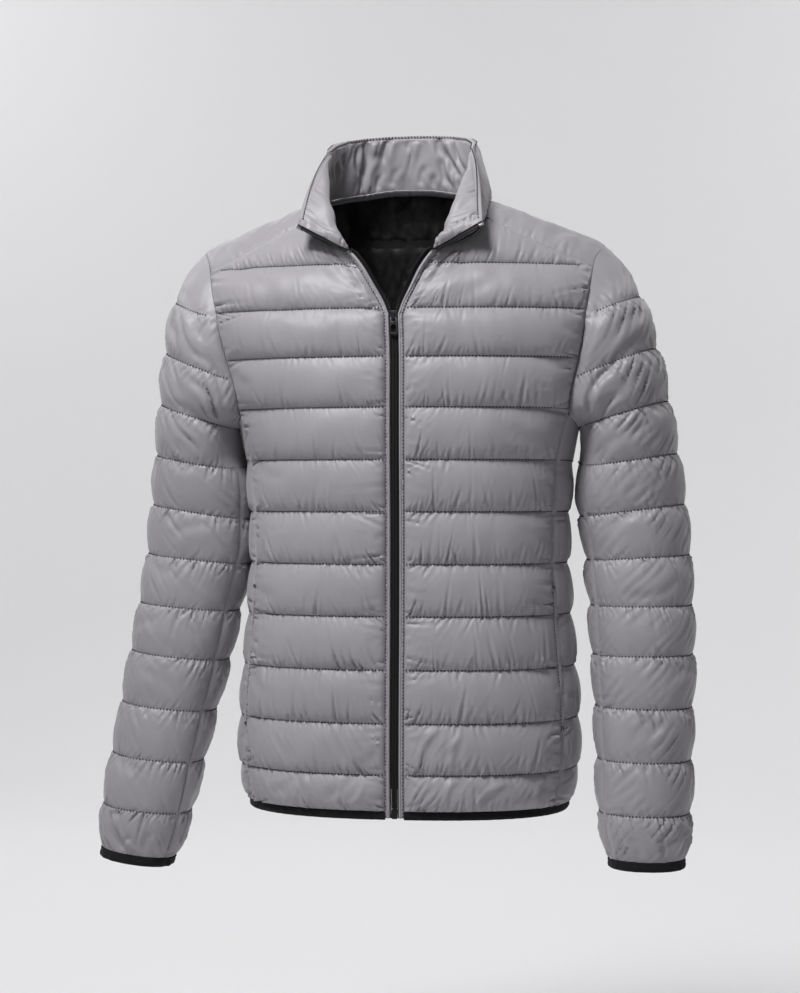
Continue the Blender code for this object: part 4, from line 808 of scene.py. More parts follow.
# ---------------------------------------------------------------- back
# One quilted panel from the hem to the neckline and the yokes, of the same padded cloth. The stretch of black
# lining that shows through the neck hangs just inside it, with one level seam.
FOLDS_BACK = [
    (-0.150, -0.130, -0.070, -0.095, 0.0080, 0.0013), (0.060, -0.110, 0.155, -0.150, 0.0080, 0.0013),
    (-0.165, -0.215, -0.110, -0.185, 0.0065, 0.0012), (0.100, -0.255, 0.165, -0.215, 0.0070, 0.0012),
    (-0.150, -0.330, -0.060, -0.352, 0.0085, 0.0013), (0.020, -0.372, 0.120, -0.340, 0.0085, 0.0012),
    (-0.120, -0.470, -0.160, -0.440, 0.0060, 0.0011), (0.105, -0.530, 0.160, -0.575, 0.0065, 0.0013),
    (-0.030, -0.600, -0.085, -0.630, 0.0055, 0.0013), (0.030, -0.598, 0.075, -0.632, 0.0055, 0.0013),
    (-0.160, -0.570, -0.110, -0.610, 0.0060, 0.0012), (-0.030, -0.210, 0.045, -0.226, 0.0085, 0.0009),
]
BACK_SEAMS = 13
BACK_EDGES = (0.0009, 0.0008)  # depth of the creases beside the side seams and the top
LINING_FROM = 8  # quilting seam from which the lining runs up to the neck
LINING_HALF = 0.105
LINING_THICK = 0.0008
LINING_SEAM = -0.031  # height of the level seam
LINING_OFF = 0.0003  # how far inside the back's inner face it begins
LINING_SLACK, LINING_BAG, LINING_RIPPLE = 0.0026, 0.0013, 0.0006


def back_grid():
    """The whole back panel's points and relief, and the outward normals."""
    x, z, v, ends = body_grid(False, BACK_SEAMS, PANEL_WIDTH)
    ends = ends + 0 * z
    turn = np.where(np.arange(2 * x.shape[1] - 1) < x.shape[1] - 1, -1.0, 1.0)
    x, z, v, ends = (np.concatenate([part[:, :0:-1], part], axis=1) for part in (x, z, v, ends))
    surface = np.stack([x, back_y(x, z), z], axis=-1)
    normal = form_normal(x, z, False)
    to_side, to_top = side_edge(z, False) - x, (ends - z) * 1.5
    fill = pinched(to_side) * pinched(to_top)
    run = x * turn
    edges = list(zip((to_side, to_top), (z + 0.3 * turn, run), BACK_EDGES))
    height = quilt_relief(run, z, v, fill, 71, edges=edges)
    height = height + folds(run, z, FOLDS_BACK) * np.clip(fill * 2, 0, 1)
    normal = on_armhole(to_side, z, surface, normal)
    outer, inner = wall_points(surface, normal, height, turn)
    inside = (ends - z > FROM_TOP) & (to_side > FROM_SIDE)
    return outer, inner, normal * np.stack([turn, 0 * turn + 1, 0 * turn + 1], axis=-1), run, v, inside


def back_panel():
    outer, inner, normal, run, v, inside = back_grid()
    sew(outer, normal, quilting(v), inside)
    uv = np.stack([run, outer[..., 2]], -1)
    panel = cloth_wall("back_cloth", outer, inner, uv, [SHELL_CLOTH, LINING_CLOTH])
    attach(panel, "jacket")
    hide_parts("back")

    rows = np.flatnonzero(v[:, 0] >= LINING_FROM)[::2]
    columns = np.flatnonzero(np.abs(run[rows[0]]) < LINING_HALF)
    columns = np.arange(columns[0], columns[0] + (len(columns) - 1) // INNER_STEP * INNER_STEP + 1)
    rows = rows[(len(rows) - 1) % INNER_STEP:]
    shown = np.ix_(rows, columns)
    near, inwards, run = inner[shown], -normal[shown], run[shown]
    z = near[..., 2]
    bags = LINING_BAG * waves(run, 0.35 * z, 91, 0.030, 10, 30)
    slack = LINING_SLACK + bags + LINING_RIPPLE * waves(run, z, 92, 0.016, 30, 60)
    seam = 1 - 0.95 * np.exp(-(((z - LINING_SEAM) / 0.0045) ** 2))
    off = LINING_OFF + np.maximum(slack, 0.0001) * seam * np.clip((near[-1, :, 2] - z) / 0.010, 0, 1)
    far = near + inwards * (off + LINING_THICK)[..., None]
    near = near + inwards * off[..., None]
    lining = cloth_wall("back_lining", far, near, np.stack([run, z], -1), [LINING_CLOTH])
    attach(lining, "jacket")
    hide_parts("lining_back")


back_panel()

# ---------------------------------------------------------------- sides
# A quilted panel under each arm, sewn to the front and to the back. The seam to the front is left open for
# the hand pocket, whose mouth is folded back and topstitched.
SIDE_SEAMS = 7  # whole channels below the armhole
SIDE_FULLNESS = 0.72  # the side panels are filled less than the fronts
SIDE_WIDTH = 0.100
SIDE_EDGES = (0.0016, 0.0013)  # depth of the creases beside the front and the back seam
UNDER_ARM_FROM, UNDER_ARM_HALF = -0.308, 0.062  # where the arm presses the padding flat: height, half depth
FOLDS_SIDE = [
    (-0.045, -0.250, 0.010, -0.290, 0.0060, 0.0013), (-0.020, -0.390, 0.040, -0.365, 0.0060, 0.0010),
    (-0.040, -0.520, 0.015, -0.480, 0.0060, 0.0011), (0.000, -0.600, 0.040, -0.635, 0.0055, 0.0012),
]


def side_panel(label, side, seed):
    v = channel_rows(0, SIDE_SEAMS + 1)[:, None]
    u = np.linspace(0, 1, counted(SIDE_WIDTH, COLUMN_STEP))[None, :]

    def edges(z):
        return front_y(side_edge(z, True), z), back_y(side_edge(z, False), z)

    corner_front, corner_back = edges(np.array(SIDE_TOP))
    y_top = corner_front + (corner_back - corner_front) * u
    reach = np.where(y_top < 0, y_top / corner_front, y_top / corner_back)
    top = UNDERARM + (SIDE_TOP - UNDERARM) * np.abs(reach) ** UNDERARM_POWER
    last = QUILT[SIDE_SEAMS]
    z = np.where(v <= SIDE_SEAMS, np.interp(v, np.arange(len(QUILT)), QUILT),
                 last + (top - last) * np.clip(v - SIDE_SEAMS, 0, 1))
    y_front, y_back = edges(z)
    y = y_front + (y_back - y_front) * u
    surface = np.stack([side_x(y, z), y, z], axis=-1)
    step = 2e-4
    slope_y = (side_x(y + step, z) - side_x(y - step, z)) / (2 * step)
    slope_z = (side_x(y, z + step) - side_x(y, z - step)) / (2 * step)
    normal = unit(np.stack([np.ones_like(y), -slope_y, -slope_z], axis=-1))
    under_arm = ease((z - UNDER_ARM_FROM) / 0.04) * ease((UNDER_ARM_HALF - np.abs(y)) / 0.02)
    fill = pinched(y - y_front) * pinched(y_back - y) * pinched(top - z)
    edge_creases = list(zip((y - y_front, y_back - y), (z, z), SIDE_EDGES))
    height = quilt_relief(y, z, v + 0 * u, fill, seed, edges=edge_creases)
    height = (height + folds(y, z, FOLDS_SIDE) * fill) * (1 - 0.75 * under_arm) * SIDE_FULLNESS
    normal[-1] = unit(normal[-1] + np.array([0, 0, -0.6]))
    outer, inner = wall_points(surface, normal, height, side)
    inside = (y - y_front > FROM_SIDE) & (y_back - y > FROM_SIDE)
    sew(outer, normal * np.array([side, 1, 1]), quilting(z), inside)
    panel = cloth_wall(f"side_{label}_cloth", outer, inner, np.stack([y, z], -1), [SHELL_CLOTH, LINING_CLOTH])
    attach(panel, "jacket")
    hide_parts(f"side_{label}")


side_panel("left", 1, 101)
side_panel("right", -1, 131)

# ---------------------------------------------------------------- yokes
# A plain piece over each shoulder, lightly padded and not quilted, sewn to the front, the back, the collar
# and the sleeve. It is drawn smooth by the shoulder under it.
YOKE_PUFF = 0.0030
YOKE_LONG, YOKE_HALF = 0.125, 0.045  # from the neck to the armhole, and from the shoulder line to a seam
YOKE_STEP = 0.0021
# depth, reach and spacing of the creases beside the front and back seams, the armhole and the neck
YOKE_CREASES = ((0.0009, 0.009, 0.008), (0.0009, 0.010, 0.007), (0.0008, 0.008, 0.007))
FOLDS_YOKE = [
    (0.012, -0.030, 0.050, -0.012, 0.0050, 0.0009), (0.010, 0.004, 0.060, 0.012, 0.0070, 0.0006),
    (0.085, -0.032, 0.118, 0.004, 0.0050, 0.0008), (0.070, 0.030, 0.115, 0.012, 0.0055, 0.0008),
]


def yoke(label, side, seed):
    v = np.linspace(-1, 1, counted(0.095, YOKE_STEP))[:, None]
    u = np.linspace(0, 1, counted(YOKE_LONG, YOKE_STEP))[None, :]
    run, across_yoke = YOKE_LONG * u + 0 * v, YOKE_HALF * v + 0 * u
    v, u = v + 0 * u, u + 0 * v
    surface = yoke_point(u, v)
    normal = form_normal(surface[..., 0], surface[..., 2], v > 0)
    to_neck, to_arm, to_seam = u * YOKE_LONG, (1 - u) * YOKE_LONG, (1 - np.abs(v)) * YOKE_HALF
    height = YOKE_PUFF * pinched(to_neck) * pinched(to_arm) * pinched(to_seam)
    inside = np.clip(np.minimum(np.minimum(to_neck, to_arm), to_seam) / 0.008, 0, 1)
    soft = 0.0004 * waves(run, across_yoke, seed, 0.034, 30, 60)
    soft = soft + 0.0002 * waves(run, across_yoke, seed + 1, 0.015, 0, 80)
    height = height + soft * inside + folds(run, across_yoke, FOLDS_YOKE) * inside
    height += creases(run, to_seam, (v > 0) * 1.0, seed + 2, *YOKE_CREASES[0])
    height += creases(across_yoke, to_arm, 0 * u, seed + 3, *YOKE_CREASES[1])
    height += creases(across_yoke, to_neck, 0 * u, seed + 4, *YOKE_CREASES[2])
    height -= SEAM_DIP * np.exp(-((np.minimum(to_seam, to_arm) / SEAM_DIP_WIDE) ** 2))
    normal[:, -1] = armhole_outwards(surface[:, -1].copy())
    outer, inner = wall_points(surface, normal, height, side)
    uv = np.stack([run, across_yoke], -1)
    made = cloth_wall(f"yoke_{label}_cloth", outer, inner, uv, [SHELL_CLOTH, LINING_CLOTH])
    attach(made, "jacket")
    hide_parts(f"yoke_{label}")


yoke("left", 1, 151)
yoke("right", -1, 157)

# ---------------------------------------------------------------- sleeves
# Each sleeve is cut in two, a wide upper piece and a narrow one under the arm, both quilted in level
# channels. It bends forwards at the elbow, so drag folds gather there, under the shoulder and above the cuff.
SLEEVE_PUFF = 0.0054
# seam number, outermost point left and right, its height, tilt left and right, width, half depth, forwards
ARM = np.array([
    (0.0, 0.2205, 0.2205, -0.0500, 40.0, 40.0, 0.020, 0.035, 0.000),
    (1.0, 0.2521, 0.2521, -0.1056, 29.0, 31.0, 0.114, 0.066, -0.003),
    (2.0, 0.2662, 0.2662, -0.1607, 22.0, 25.0, 0.110, 0.069, 0.000),
    (3.0, 0.2783, 0.2730, -0.2168, 17.0, 19.0, 0.099, 0.067, 0.003),
    (4.0, 0.2880, 0.2790, -0.2724, 11.0, 13.0, 0.102, 0.064, 0.006),
    (5.0, 0.2956, 0.2840, -0.3263, 7.0, 9.0, 0.106, 0.061, 0.008),
    (6.0, 0.3010, 0.2895, -0.3800, 3.0, 6.0, 0.108, 0.058, 0.006),
    (7.0, 0.3037, 0.2972, -0.4334, 0.0, 5.0, 0.106, 0.055, 0.000),
    (8.0, 0.3044, 0.3054, -0.4855, 0.0, 6.0, 0.104, 0.053, -0.006),
    (9.0, 0.3035, 0.3143, -0.5410, -1.0, 6.0, 0.100, 0.051, -0.013),
    (10.0, 0.3021, 0.3228, -0.5960, -1.0, 6.0, 0.096, 0.049, -0.021),
    (11.0, 0.3010, 0.3311, -0.6510, -1.0, 6.0, 0.093, 0.046, -0.029),
    (12.0, 0.2970, 0.3325, -0.6975, 0.0, 8.0, 0.080, 0.036, -0.036),
    (12.2, 0.2965, 0.3338, -0.7080, 0.0, 8.0, 0.078, 0.035, -0.0376),
])
SEAM_NUMBER, OUT_LEFT, OUT_RIGHT, OUT_HEIGHT = ARM.T[:4]
TILT_LEFT, TILT_RIGHT, ARM_WIDTH, ARM_DEPTH, ARM_FORWARD = ARM.T[4:]
CUFF_SEAM, CUFF_END = 12.0, 12.2
FULL_RING = 3.0  # from this seam down the sleeve is a whole tube
ARM_SLACK = 0.0050  # how far the upper arm's slack hangs in against the body
SLACK_END = {1: 4.9, -1: 5.8}  # the seam where the slack begins to end, by side
SLEEVE_PITCH = 0.054  # from one quilting seam to the next, along the sleeve
SLEEVE_STEP, UNDER_WIDTH = 0.0017, 0.088
SLEEVE_CREASE = 0.0031  # depth of the creases that stand out from its quilting seams
SLEEVE_EDGES = (0.0008, 0.0008, 0.0010)  # beside its two long seams and the armhole
LONG_DRAG, SHORT_DRAG = (0.0023, 0.024), (0.0011, 0.016)  # depth and spacing of the drag creases
BODY_CLEAR = 0.0042  # the sleeve's form stays this far off the body's
PRESSED_TO = 3.75  # seam number down to which the body presses the sleeve
ARM_POWER = 2.2
ARM_RADIUS = 0.055
DRAG_ANGLE = -50.0  # the way that the cloth is pulled, from the shoulder down to the inside of the arm
SLEEVE_SEAMS = (148.0, -120.0)  # front and back seam, degrees round from the outside
ARMHOLE_REACHED = ((0.0, 1.0, 2.0, 3.0), (0.0, 0.41, 0.65, 1.0))
EDGE_ANGLE = ((0.0, 1.0, 2.0, 3.0), (0.0, 90.0, 127.0, 180.0))

# folds on a sleeve: from degrees round and seam number, to the same, half width and depth in metres
FOLDS_SLEEVE_LEFT = [
    (128, 2.75, 76, 2.02, 0.0036, 0.0046), (118, 3.05, 84, 2.55, 0.0034, 0.0026),
    (95, 1.35, 30, 0.55, 0.0060, 0.0020), (98, 1.90, 20, 1.25, 0.0065, 0.0018),
    (108, 2.55, 35, 1.70, 0.0065, 0.0019), (120, 3.10, 50, 2.30, 0.0070, 0.0018),
    (60, 3.30, 0, 2.80, 0.0070, 0.0014), (130, 4.20, 85, 3.40, 0.0060, 0.0014),
    (120, 5.40, 60, 5.00, 0.0055, 0.0012), (40, 6.40, 110, 6.80, 0.0055, 0.0013),
    (70, 8.60, 20, 8.25, 0.0055, 0.0012), (110, 9.70, 50, 9.30, 0.0055, 0.0012),
    (30, 11.35, 45, 11.95, 0.0050, 0.0018), (75, 11.30, 65, 11.95, 0.0050, 0.0019),
    (110, 11.40, 95, 11.95, 0.0050, 0.0016), (-30, 11.30, -15, 11.95, 0.0050, 0.0017),
    (10, 11.35, 22, 11.95, 0.0030, 0.0026), (-5, 11.50, 8, 11.96, 0.0028, 0.0022),
    (40, 11.08, 12, 11.90, 0.0034, -0.0020), (82, 11.20, 58, 11.93, 0.0034, -0.0018),
    (-60, 2.60, -20, 1.60, 0.0065, 0.0016), (-90, 5.60, -40, 6.20, 0.0060, 0.0014),
    (-80, 9.30, -30, 8.70, 0.0060, 0.0012),
]
FOLDS_SLEEVE_RIGHT = [
    (126, 2.85, 80, 2.20, 0.0036, 0.0034), (116, 2.20, 76, 1.70, 0.0034, 0.0022),
    (90, 1.55, 25, 0.70, 0.0060, 0.0018), (100, 2.10, 30, 1.40, 0.0065, 0.0016),
    (85, 2.70, 20, 2.20, 0.0065, 0.0016), (120, 3.30, 60, 2.80, 0.0065, 0.0015),
    (40, 3.65, 100, 4.10, 0.0060, 0.0013), (120, 5.20, 70, 5.60, 0.0055, 0.0012),
    (30, 5.90, 85, 6.35, 0.0055, 0.0013), (80, 7.30, 25, 7.70, 0.0055, 0.0012),
    (110, 8.80, 60, 8.30, 0.0055, 0.0013), (30, 9.80, 90, 10.2, 0.0055, 0.0012),
    (35, 11.30, 50, 11.95, 0.0050, 0.0018), (70, 11.35, 80, 11.95, 0.0050, 0.0018),
    (115, 11.35, 105, 11.95, 0.0050, 0.0017), (-25, 11.30, -35, 11.95, 0.0050, 0.0017),
    (60, 11.06, 102, 11.93, 0.0034, -0.0024), (22, 11.45, 38, 11.95, 0.0030, 0.0024),
    (88, 11.55, 78, 11.95, 0.0028, 0.0020), (8, 11.25, -4, 11.93, 0.0034, -0.0017),
    (-70, 2.40, -25, 1.50, 0.0065, 0.0016), (-85, 6.30, -45, 5.70, 0.0060, 0.0014),
    (-70, 8.70, -20, 9.20, 0.0060, 0.0012),
]


def signed_power(x, power):
    return np.sign(x) * np.abs(x) ** power


def sleeve_point(s, degrees, side):
    """A point of the arm form on seam number s, this far round from the outside: positive to the front."""
    out = curve(SEAM_NUMBER, OUT_LEFT if side == 1 else OUT_RIGHT, s)
    tilt = np.radians(curve(SEAM_NUMBER, TILT_LEFT if side == 1 else TILT_RIGHT, s))
    height = curve(SEAM_NUMBER, OUT_HEIGHT, s)
    half = curve(SEAM_NUMBER, ARM_WIDTH, s) / 2
    depth = curve(SEAM_NUMBER, ARM_DEPTH, s)
    forward = curve(SEAM_NUMBER, ARM_FORWARD, s)

    def ring(angle):
        turn = np.radians(angle)
        inward = half * (1 - signed_power(np.cos(turn), 2 / ARM_POWER))
        y = forward - depth * signed_power(np.sin(turn), 2 / ARM_POWER)
        return np.stack([out - inward * np.cos(tilt), y, height - inward * np.sin(tilt)], axis=-1)

    point = ring(degrees)
    # near the body the ring's edges are drawn to the armhole
    reached = np.interp(s, *ARMHOLE_REACHED)
    edge_angle = np.maximum(np.interp(s, *EDGE_ANGLE), 2.0)
    front = degrees >= 0
    edge = np.where(front[..., None], along(ARMHOLES[True], reached), along(ARMHOLES[False], reached))
    miss = edge - ring(np.where(front, edge_angle, -edge_angle))
    pull = np.clip(np.abs(degrees) / edge_angle, 0, 1) ** 3 * (1 - ease((s - FULL_RING) / 1.5))
    point = point + miss * pull[..., None]
    # below the armhole the sleeve lies against the body's side and not through it
    x, y, z = point[..., 0], point[..., 1], point[..., 2]
    clear = side_x(y, np.minimum(z, UNDERARM)) + BODY_CLEAR * ease((UNDERARM - z) / 0.006)
    point[..., 0] = np.where(z < UNDERARM + 0.0005, np.maximum(x, clear), x)
    return point


def sleeve_panel(name, node, side, angles, first_seam, seams, table, seed):
    """A sleeve's piece from one sleeve seam to the other, angles in degrees round from the outside."""
    rows = channel_rows(first_seam, int(CUFF_SEAM))
    start = np.interp(np.abs(angles), EDGE_ANGLE[1], EDGE_ANGLE[0])[None, :]
    s = np.maximum(rows[:, None], start)
    s = np.where((s > start) & (s < start + 0.03), start, s)
    degrees = angles[None, :] + 0 * s
    surface = sleeve_point(s, degrees, side)

    def at(u, w):
        return sleeve_point(w, np.where(np.abs(u) > 180, u - 360 * np.sign(u), u), side)

    inside = np.clip(s, 0.02, CUFF_SEAM - 0.02)
    normal = unit(np.cross(at(degrees + 1.5, inside) - at(degrees - 1.5, inside),
                           at(degrees, inside + 0.02) - at(degrees, inside - 0.02)))
    low, high = seams
    to_low = np.abs(degrees - low) * math.radians(1) * ARM_RADIUS
    to_high = np.abs(high - degrees) * math.radians(1) * ARM_RADIUS
    # the padding is pressed flat where the upper arm lies against the body
    to_body = ease((s - FULL_RING + 0.6) / 0.6) * (1 - ease((s - PRESSED_TO) / 0.8))
    to_body = to_body * ease((np.abs(degrees) - 110) / 35)
    begin = (s - start) * SLEEVE_PITCH
    fill = pinched(np.minimum(to_low, to_high)) * pinched(begin)
    run = np.radians(np.where((degrees < 0) & (angles[0] > 0), degrees + 360, degrees)) * ARM_RADIUS
    up = -SLEEVE_PITCH * s
    ways = (up, up + 1, run + 0.7 * np.sign(degrees) * up)
    seam_edges = list(zip((to_low, to_high, begin), ways, SLEEVE_EDGES))
    height = quilt_relief(run, up, s, fill, seed, SLEEVE_CREASE, edges=seam_edges, bias=-0.5)
    height = height * SLEEVE_PUFF / PUFF
    pulled = 0.55 + 0.45 * ease((5.0 - s) / 2.5) + 0.35 * ease((s - 10.5) / 1.0)
    crest = np.clip(channel(s) * 1.2, 0, 1)
    height += drags(run, up, seed + 20, DRAG_ANGLE, *LONG_DRAG) * pulled * crest * fill
    height += drags(run, up, seed + 30, DRAG_ANGLE + 10, *SHORT_DRAG) * pulled * crest * fill
    laid = [(math.radians(a) * ARM_RADIUS, -SLEEVE_PITCH * p, math.radians(b) * ARM_RADIUS, -SLEEVE_PITCH * q,
             wide, deep) for a, p, b, q, wide, deep in table]
    height = (height + folds(run, up, laid) * np.clip(fill * 2, 0, 1)) * (1 - 0.95 * to_body)
    hanging = ARM_SLACK * ease((s - PRESSED_TO) / 0.5) * (1 - ease((s - SLACK_END[side]) / 0.9))
    height += hanging * ease((np.abs(degrees) - 95) / 50)
    edge_row = s <= start + 1e-6
    normal = np.where(edge_row[..., None], armhole_outwards(surface.copy()), normal)
    surface[..., 0] += 0.0003 * edge_row
    outer, inner = wall_points(surface, normal, height, side)
    inside = (begin > FROM_TOP) & (np.minimum(to_low, to_high) > FROM_SIDE)
    sew(outer, normal * np.array([side, 1, 1]), quilting(s), inside)
    panel = cloth_wall(name, outer, inner, np.stack([run, up], -1), [SHELL_CLOTH, LINING_CLOTH])
    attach(panel, "jacket")
    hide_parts(node)


SLEEVES = (("left", 1, FOLDS_SLEEVE_LEFT, 201), ("right", -1, FOLDS_SLEEVE_RIGHT, 251))
for label, side, table, seed in SLEEVES:
    front_seam, back_seam = SLEEVE_SEAMS
    upper_width = math.radians(front_seam - back_seam) * ARM_RADIUS
    around = np.linspace(back_seam, front_seam, counted(upper_width, SLEEVE_STEP))
    sleeve_panel(f"sleeve_upper_{label}_cloth", f"sleeve_upper_{label}", side, around, 0,
                 (back_seam, front_seam), table, seed)
    around = np.linspace(front_seam, 360 + back_seam, counted(UNDER_WIDTH, SLEEVE_STEP))
    around = np.where(around > 180, around - 360, around)
    sleeve_panel(f"sleeve_under_{label}_cloth", f"sleeve_under_{label}", side, around, 2,
                 (front_seam, back_seam), [], seed + 25)

# ---------------------------------------------------------------- collar
# A stand collar of two padded layers, folded outwards along its front. The facing, which the open neck shows,
# lies slack in upright folds; both layers are topstitched together close to the top edge.
COLLAR_HEIGHT = 0.062
COLLAR_PAD, COLLAR_EDGE_PAD = 0.0042, 0.0016
TOPSTITCH_IN = 0.0046  # the stitching's distance from the collar's top edge
ROLL_LENGTH = 0.123  # along the collar, how far back its front corner is folded outwards
ROLL_SOFTNESS = 0.28  # share of the collar's height that the fold takes
COLLAR_STEP = 0.0019
TOPSTITCH_GROOVE, GROOVE_WIDE = 0.0008, 0.0011
# depth, reach and spacing of the creases along the topstitching, the neck seam and the front edge
COLLAR_CREASES = ((0.0011, 0.009, 0.008), (0.0010, 0.010, 0.007), (0.0014, 0.015, 0.0090))
SEAM_GAP = 0.0003  # between neighbouring pieces
ROLL_MIDDLE = np.array([0.0625, -0.0760, -0.0040])
ROLL_TOP = np.array([0.0785, -0.0080, 0.0610])
COLLAR_CORNER = np.array([0.0970, -0.1000, -0.0330])
COLLAR_FRONT_MIDDLE = np.array([0.0910, -0.0600, 0.0130])
COLLAR_BACK = np.array([
    (0.0785, -0.0080, 0.0610), (0.0768, 0.0200, 0.0706), (0.0690, 0.0420, 0.0780),
    (0.0525, 0.0590, 0.0832), (0.0280, 0.0680, 0.0862), (0.0000, 0.0710, 0.0870),
])
# folds, as distance round from the middle of the back and height over the seam, to the same, half width and
# depth
FOLDS_FACING = [
    (-0.060, 0.064, -0.051, 0.034, 0.0048, 0.0030), (-0.052, 0.040, -0.058, 0.002, 0.0048, 0.0024),
    (-0.074, 0.054, -0.066, 0.020, 0.0042, 0.0018), (-0.024, 0.064, -0.034, 0.028, 0.0046, 0.0021),
    (0.044, 0.064, 0.042, 0.034, 0.0048, 0.0028), (0.041, 0.040, 0.050, 0.003, 0.0046, 0.0025),
    (0.046, 0.050, 0.071, 0.016, 0.0044, 0.0026), (0.060, 0.056, 0.084, 0.022, 0.0040, 0.0022),
    (-0.037, 0.020, -0.037, 0.001, 0.0034, 0.0014), (-0.016, 0.026, -0.020, 0.002, 0.0040, 0.0012),
    (0.020, 0.028, 0.013, 0.002, 0.0040, 0.0013), (0.004, 0.058, -0.004, 0.040, 0.0050, 0.0012),
    (0.030, 0.018, 0.028, 0.001, 0.0034, 0.0012), (0.064, 0.016, 0.066, 0.001, 0.0034, 0.0013),
    (-0.094, 0.030, -0.108, 0.046, 0.0040, 0.0017), (-0.106, 0.022, -0.120, 0.040, 0.0038, 0.0016),
    (-0.120, 0.018, -0.132, 0.040, 0.0040, 0.0018), (-0.136, 0.012, -0.146, 0.036, 0.0038, 0.0015),
    (-0.150, 0.010, -0.162, 0.030, 0.0036, 0.0014), (-0.164, 0.008, -0.176, 0.026, 0.0034, 0.0012),
    (0.098, 0.028, 0.110, 0.048, 0.0040, 0.0016), (0.112, 0.022, 0.124, 0.040, 0.0038, 0.0017),
    (0.126, 0.016, 0.142, 0.038, 0.0040, 0.0017), (0.142, 0.012, 0.152, 0.034, 0.0036, 0.0015),
    (0.156, 0.010, 0.168, 0.028, 0.0034, 0.0013), (0.168, 0.008, 0.178, 0.026, 0.0034, 0.0011),
]
FOLDS_COLLAR_OUTSIDE = [
    (-0.070, 0.058, -0.052, 0.014, 0.0060, 0.0014), (-0.030, 0.060, -0.040, 0.020, 0.0060, 0.0012),
    (0.012, 0.060, 0.004, 0.014, 0.0060, 0.0012), (0.052, 0.058, 0.040, 0.012, 0.0060, 0.0014),
    (0.086, 0.050, 0.074, 0.010, 0.0055, 0.0012), (-0.104, 0.040, -0.092, 0.008, 0.0055, 0.0012),
]


# piece, node, way out of the middle, folds and the share of their depth, seed
COLLAR_LAYERS = [
    ("collar_facing_cloth", "collar_facing", -1, FOLDS_FACING, 2.0, 301),
    ("collar_outer_cloth", "collar_outer", 1, FOLDS_COLLAR_OUTSIDE, 1.5, 331),
]


def three_point(start, middle, end, t):
    """A curve through three points, at 0, 0.5 and 1."""
    t = np.asarray(t)[..., None]
    control = 2 * middle - (start + end) / 2
    return (1 - t) ** 2 * start + 2 * t * (1 - t) * control + t**2 * end


def neck_line():
    """The left half of the neck seam, from the zip round to the middle of the back, and which of its points
    is on the shoulder line."""
    zip_x = zip_edge(np.array(NECK_FRONT[-1, 1]))
    front_x = np.linspace(zip_x, yoke_point(np.array(0.0), np.array(1.0))[0], 24)
    front_z = np.interp(front_x, *TOP_EDGES[True])
    back_x = np.linspace(yoke_point(np.array(0.0), np.array(-1.0))[0], 0, 24)
    back_z = np.interp(back_x, *TOP_EDGES[False])
    return np.concatenate([
        np.stack([front_x, chest_y(front_x, front_z), front_z], axis=-1),
        yoke_point(np.zeros(23), np.linspace(1, -1, 25)[1:-1]),
        np.stack([back_x, back_y(back_x, back_z), back_z], axis=-1),
    ]), len(front_x) + 11


NECK, ON_SHOULDER = neck_line()
NECK_AT = np.concatenate([[0], np.cumsum(np.linalg.norm(np.diff(NECK, axis=0), axis=1))])
NECK_LENGTH = float(NECK_AT[-1])
SHOULDER_AT = float(NECK_AT[ON_SHOULDER])


def collar_frame(s):
    """Neck seam point, fold point and top edge point at distance s back from the collar's front edge."""
    base = along(NECK, np.clip(s / NECK_LENGTH, 0, 1))
    fold = np.clip(s / ROLL_LENGTH, 0, 1)
    roll = three_point(NECK[0], ROLL_MIDDLE, ROLL_TOP, fold)
    top_front = three_point(COLLAR_CORNER, COLLAR_FRONT_MIDDLE, ROLL_TOP, fold)
    top_back = along(COLLAR_BACK, np.clip((s - ROLL_LENGTH) / (NECK_LENGTH - ROLL_LENGTH), 0, 1))
    behind = (s > ROLL_LENGTH)[..., None]
    return base, np.where(behind, top_back, roll), np.where(behind, top_back, top_front), fold


def collar_point(s, h):
    """The collar's middle surface, s back from its front edge along the neck seam and h from the seam, 0, to
    the top edge, 1."""
    base, roll, top, fold = collar_frame(s)
    split = np.clip(fold, 0.04, 0.96)[..., None]

    def softened(height):
        total = 0
        for k in np.linspace(-1, 1, 13):
            at = height + ROLL_SOFTNESS * k
            total = total + np.where(at < split, base + (roll - base) * at / split,
                                     roll + (top - roll) * (at - split) / (1 - split))
        return total / 13

    # the fold is softened, and what that moves the two edges by is taken back
    height = h[..., None]
    low, high = softened(0 * height), softened(0 * height + 1)
    return softened(height) + (base - low) * (1 - height) ** 2 + (top - high) * height**2


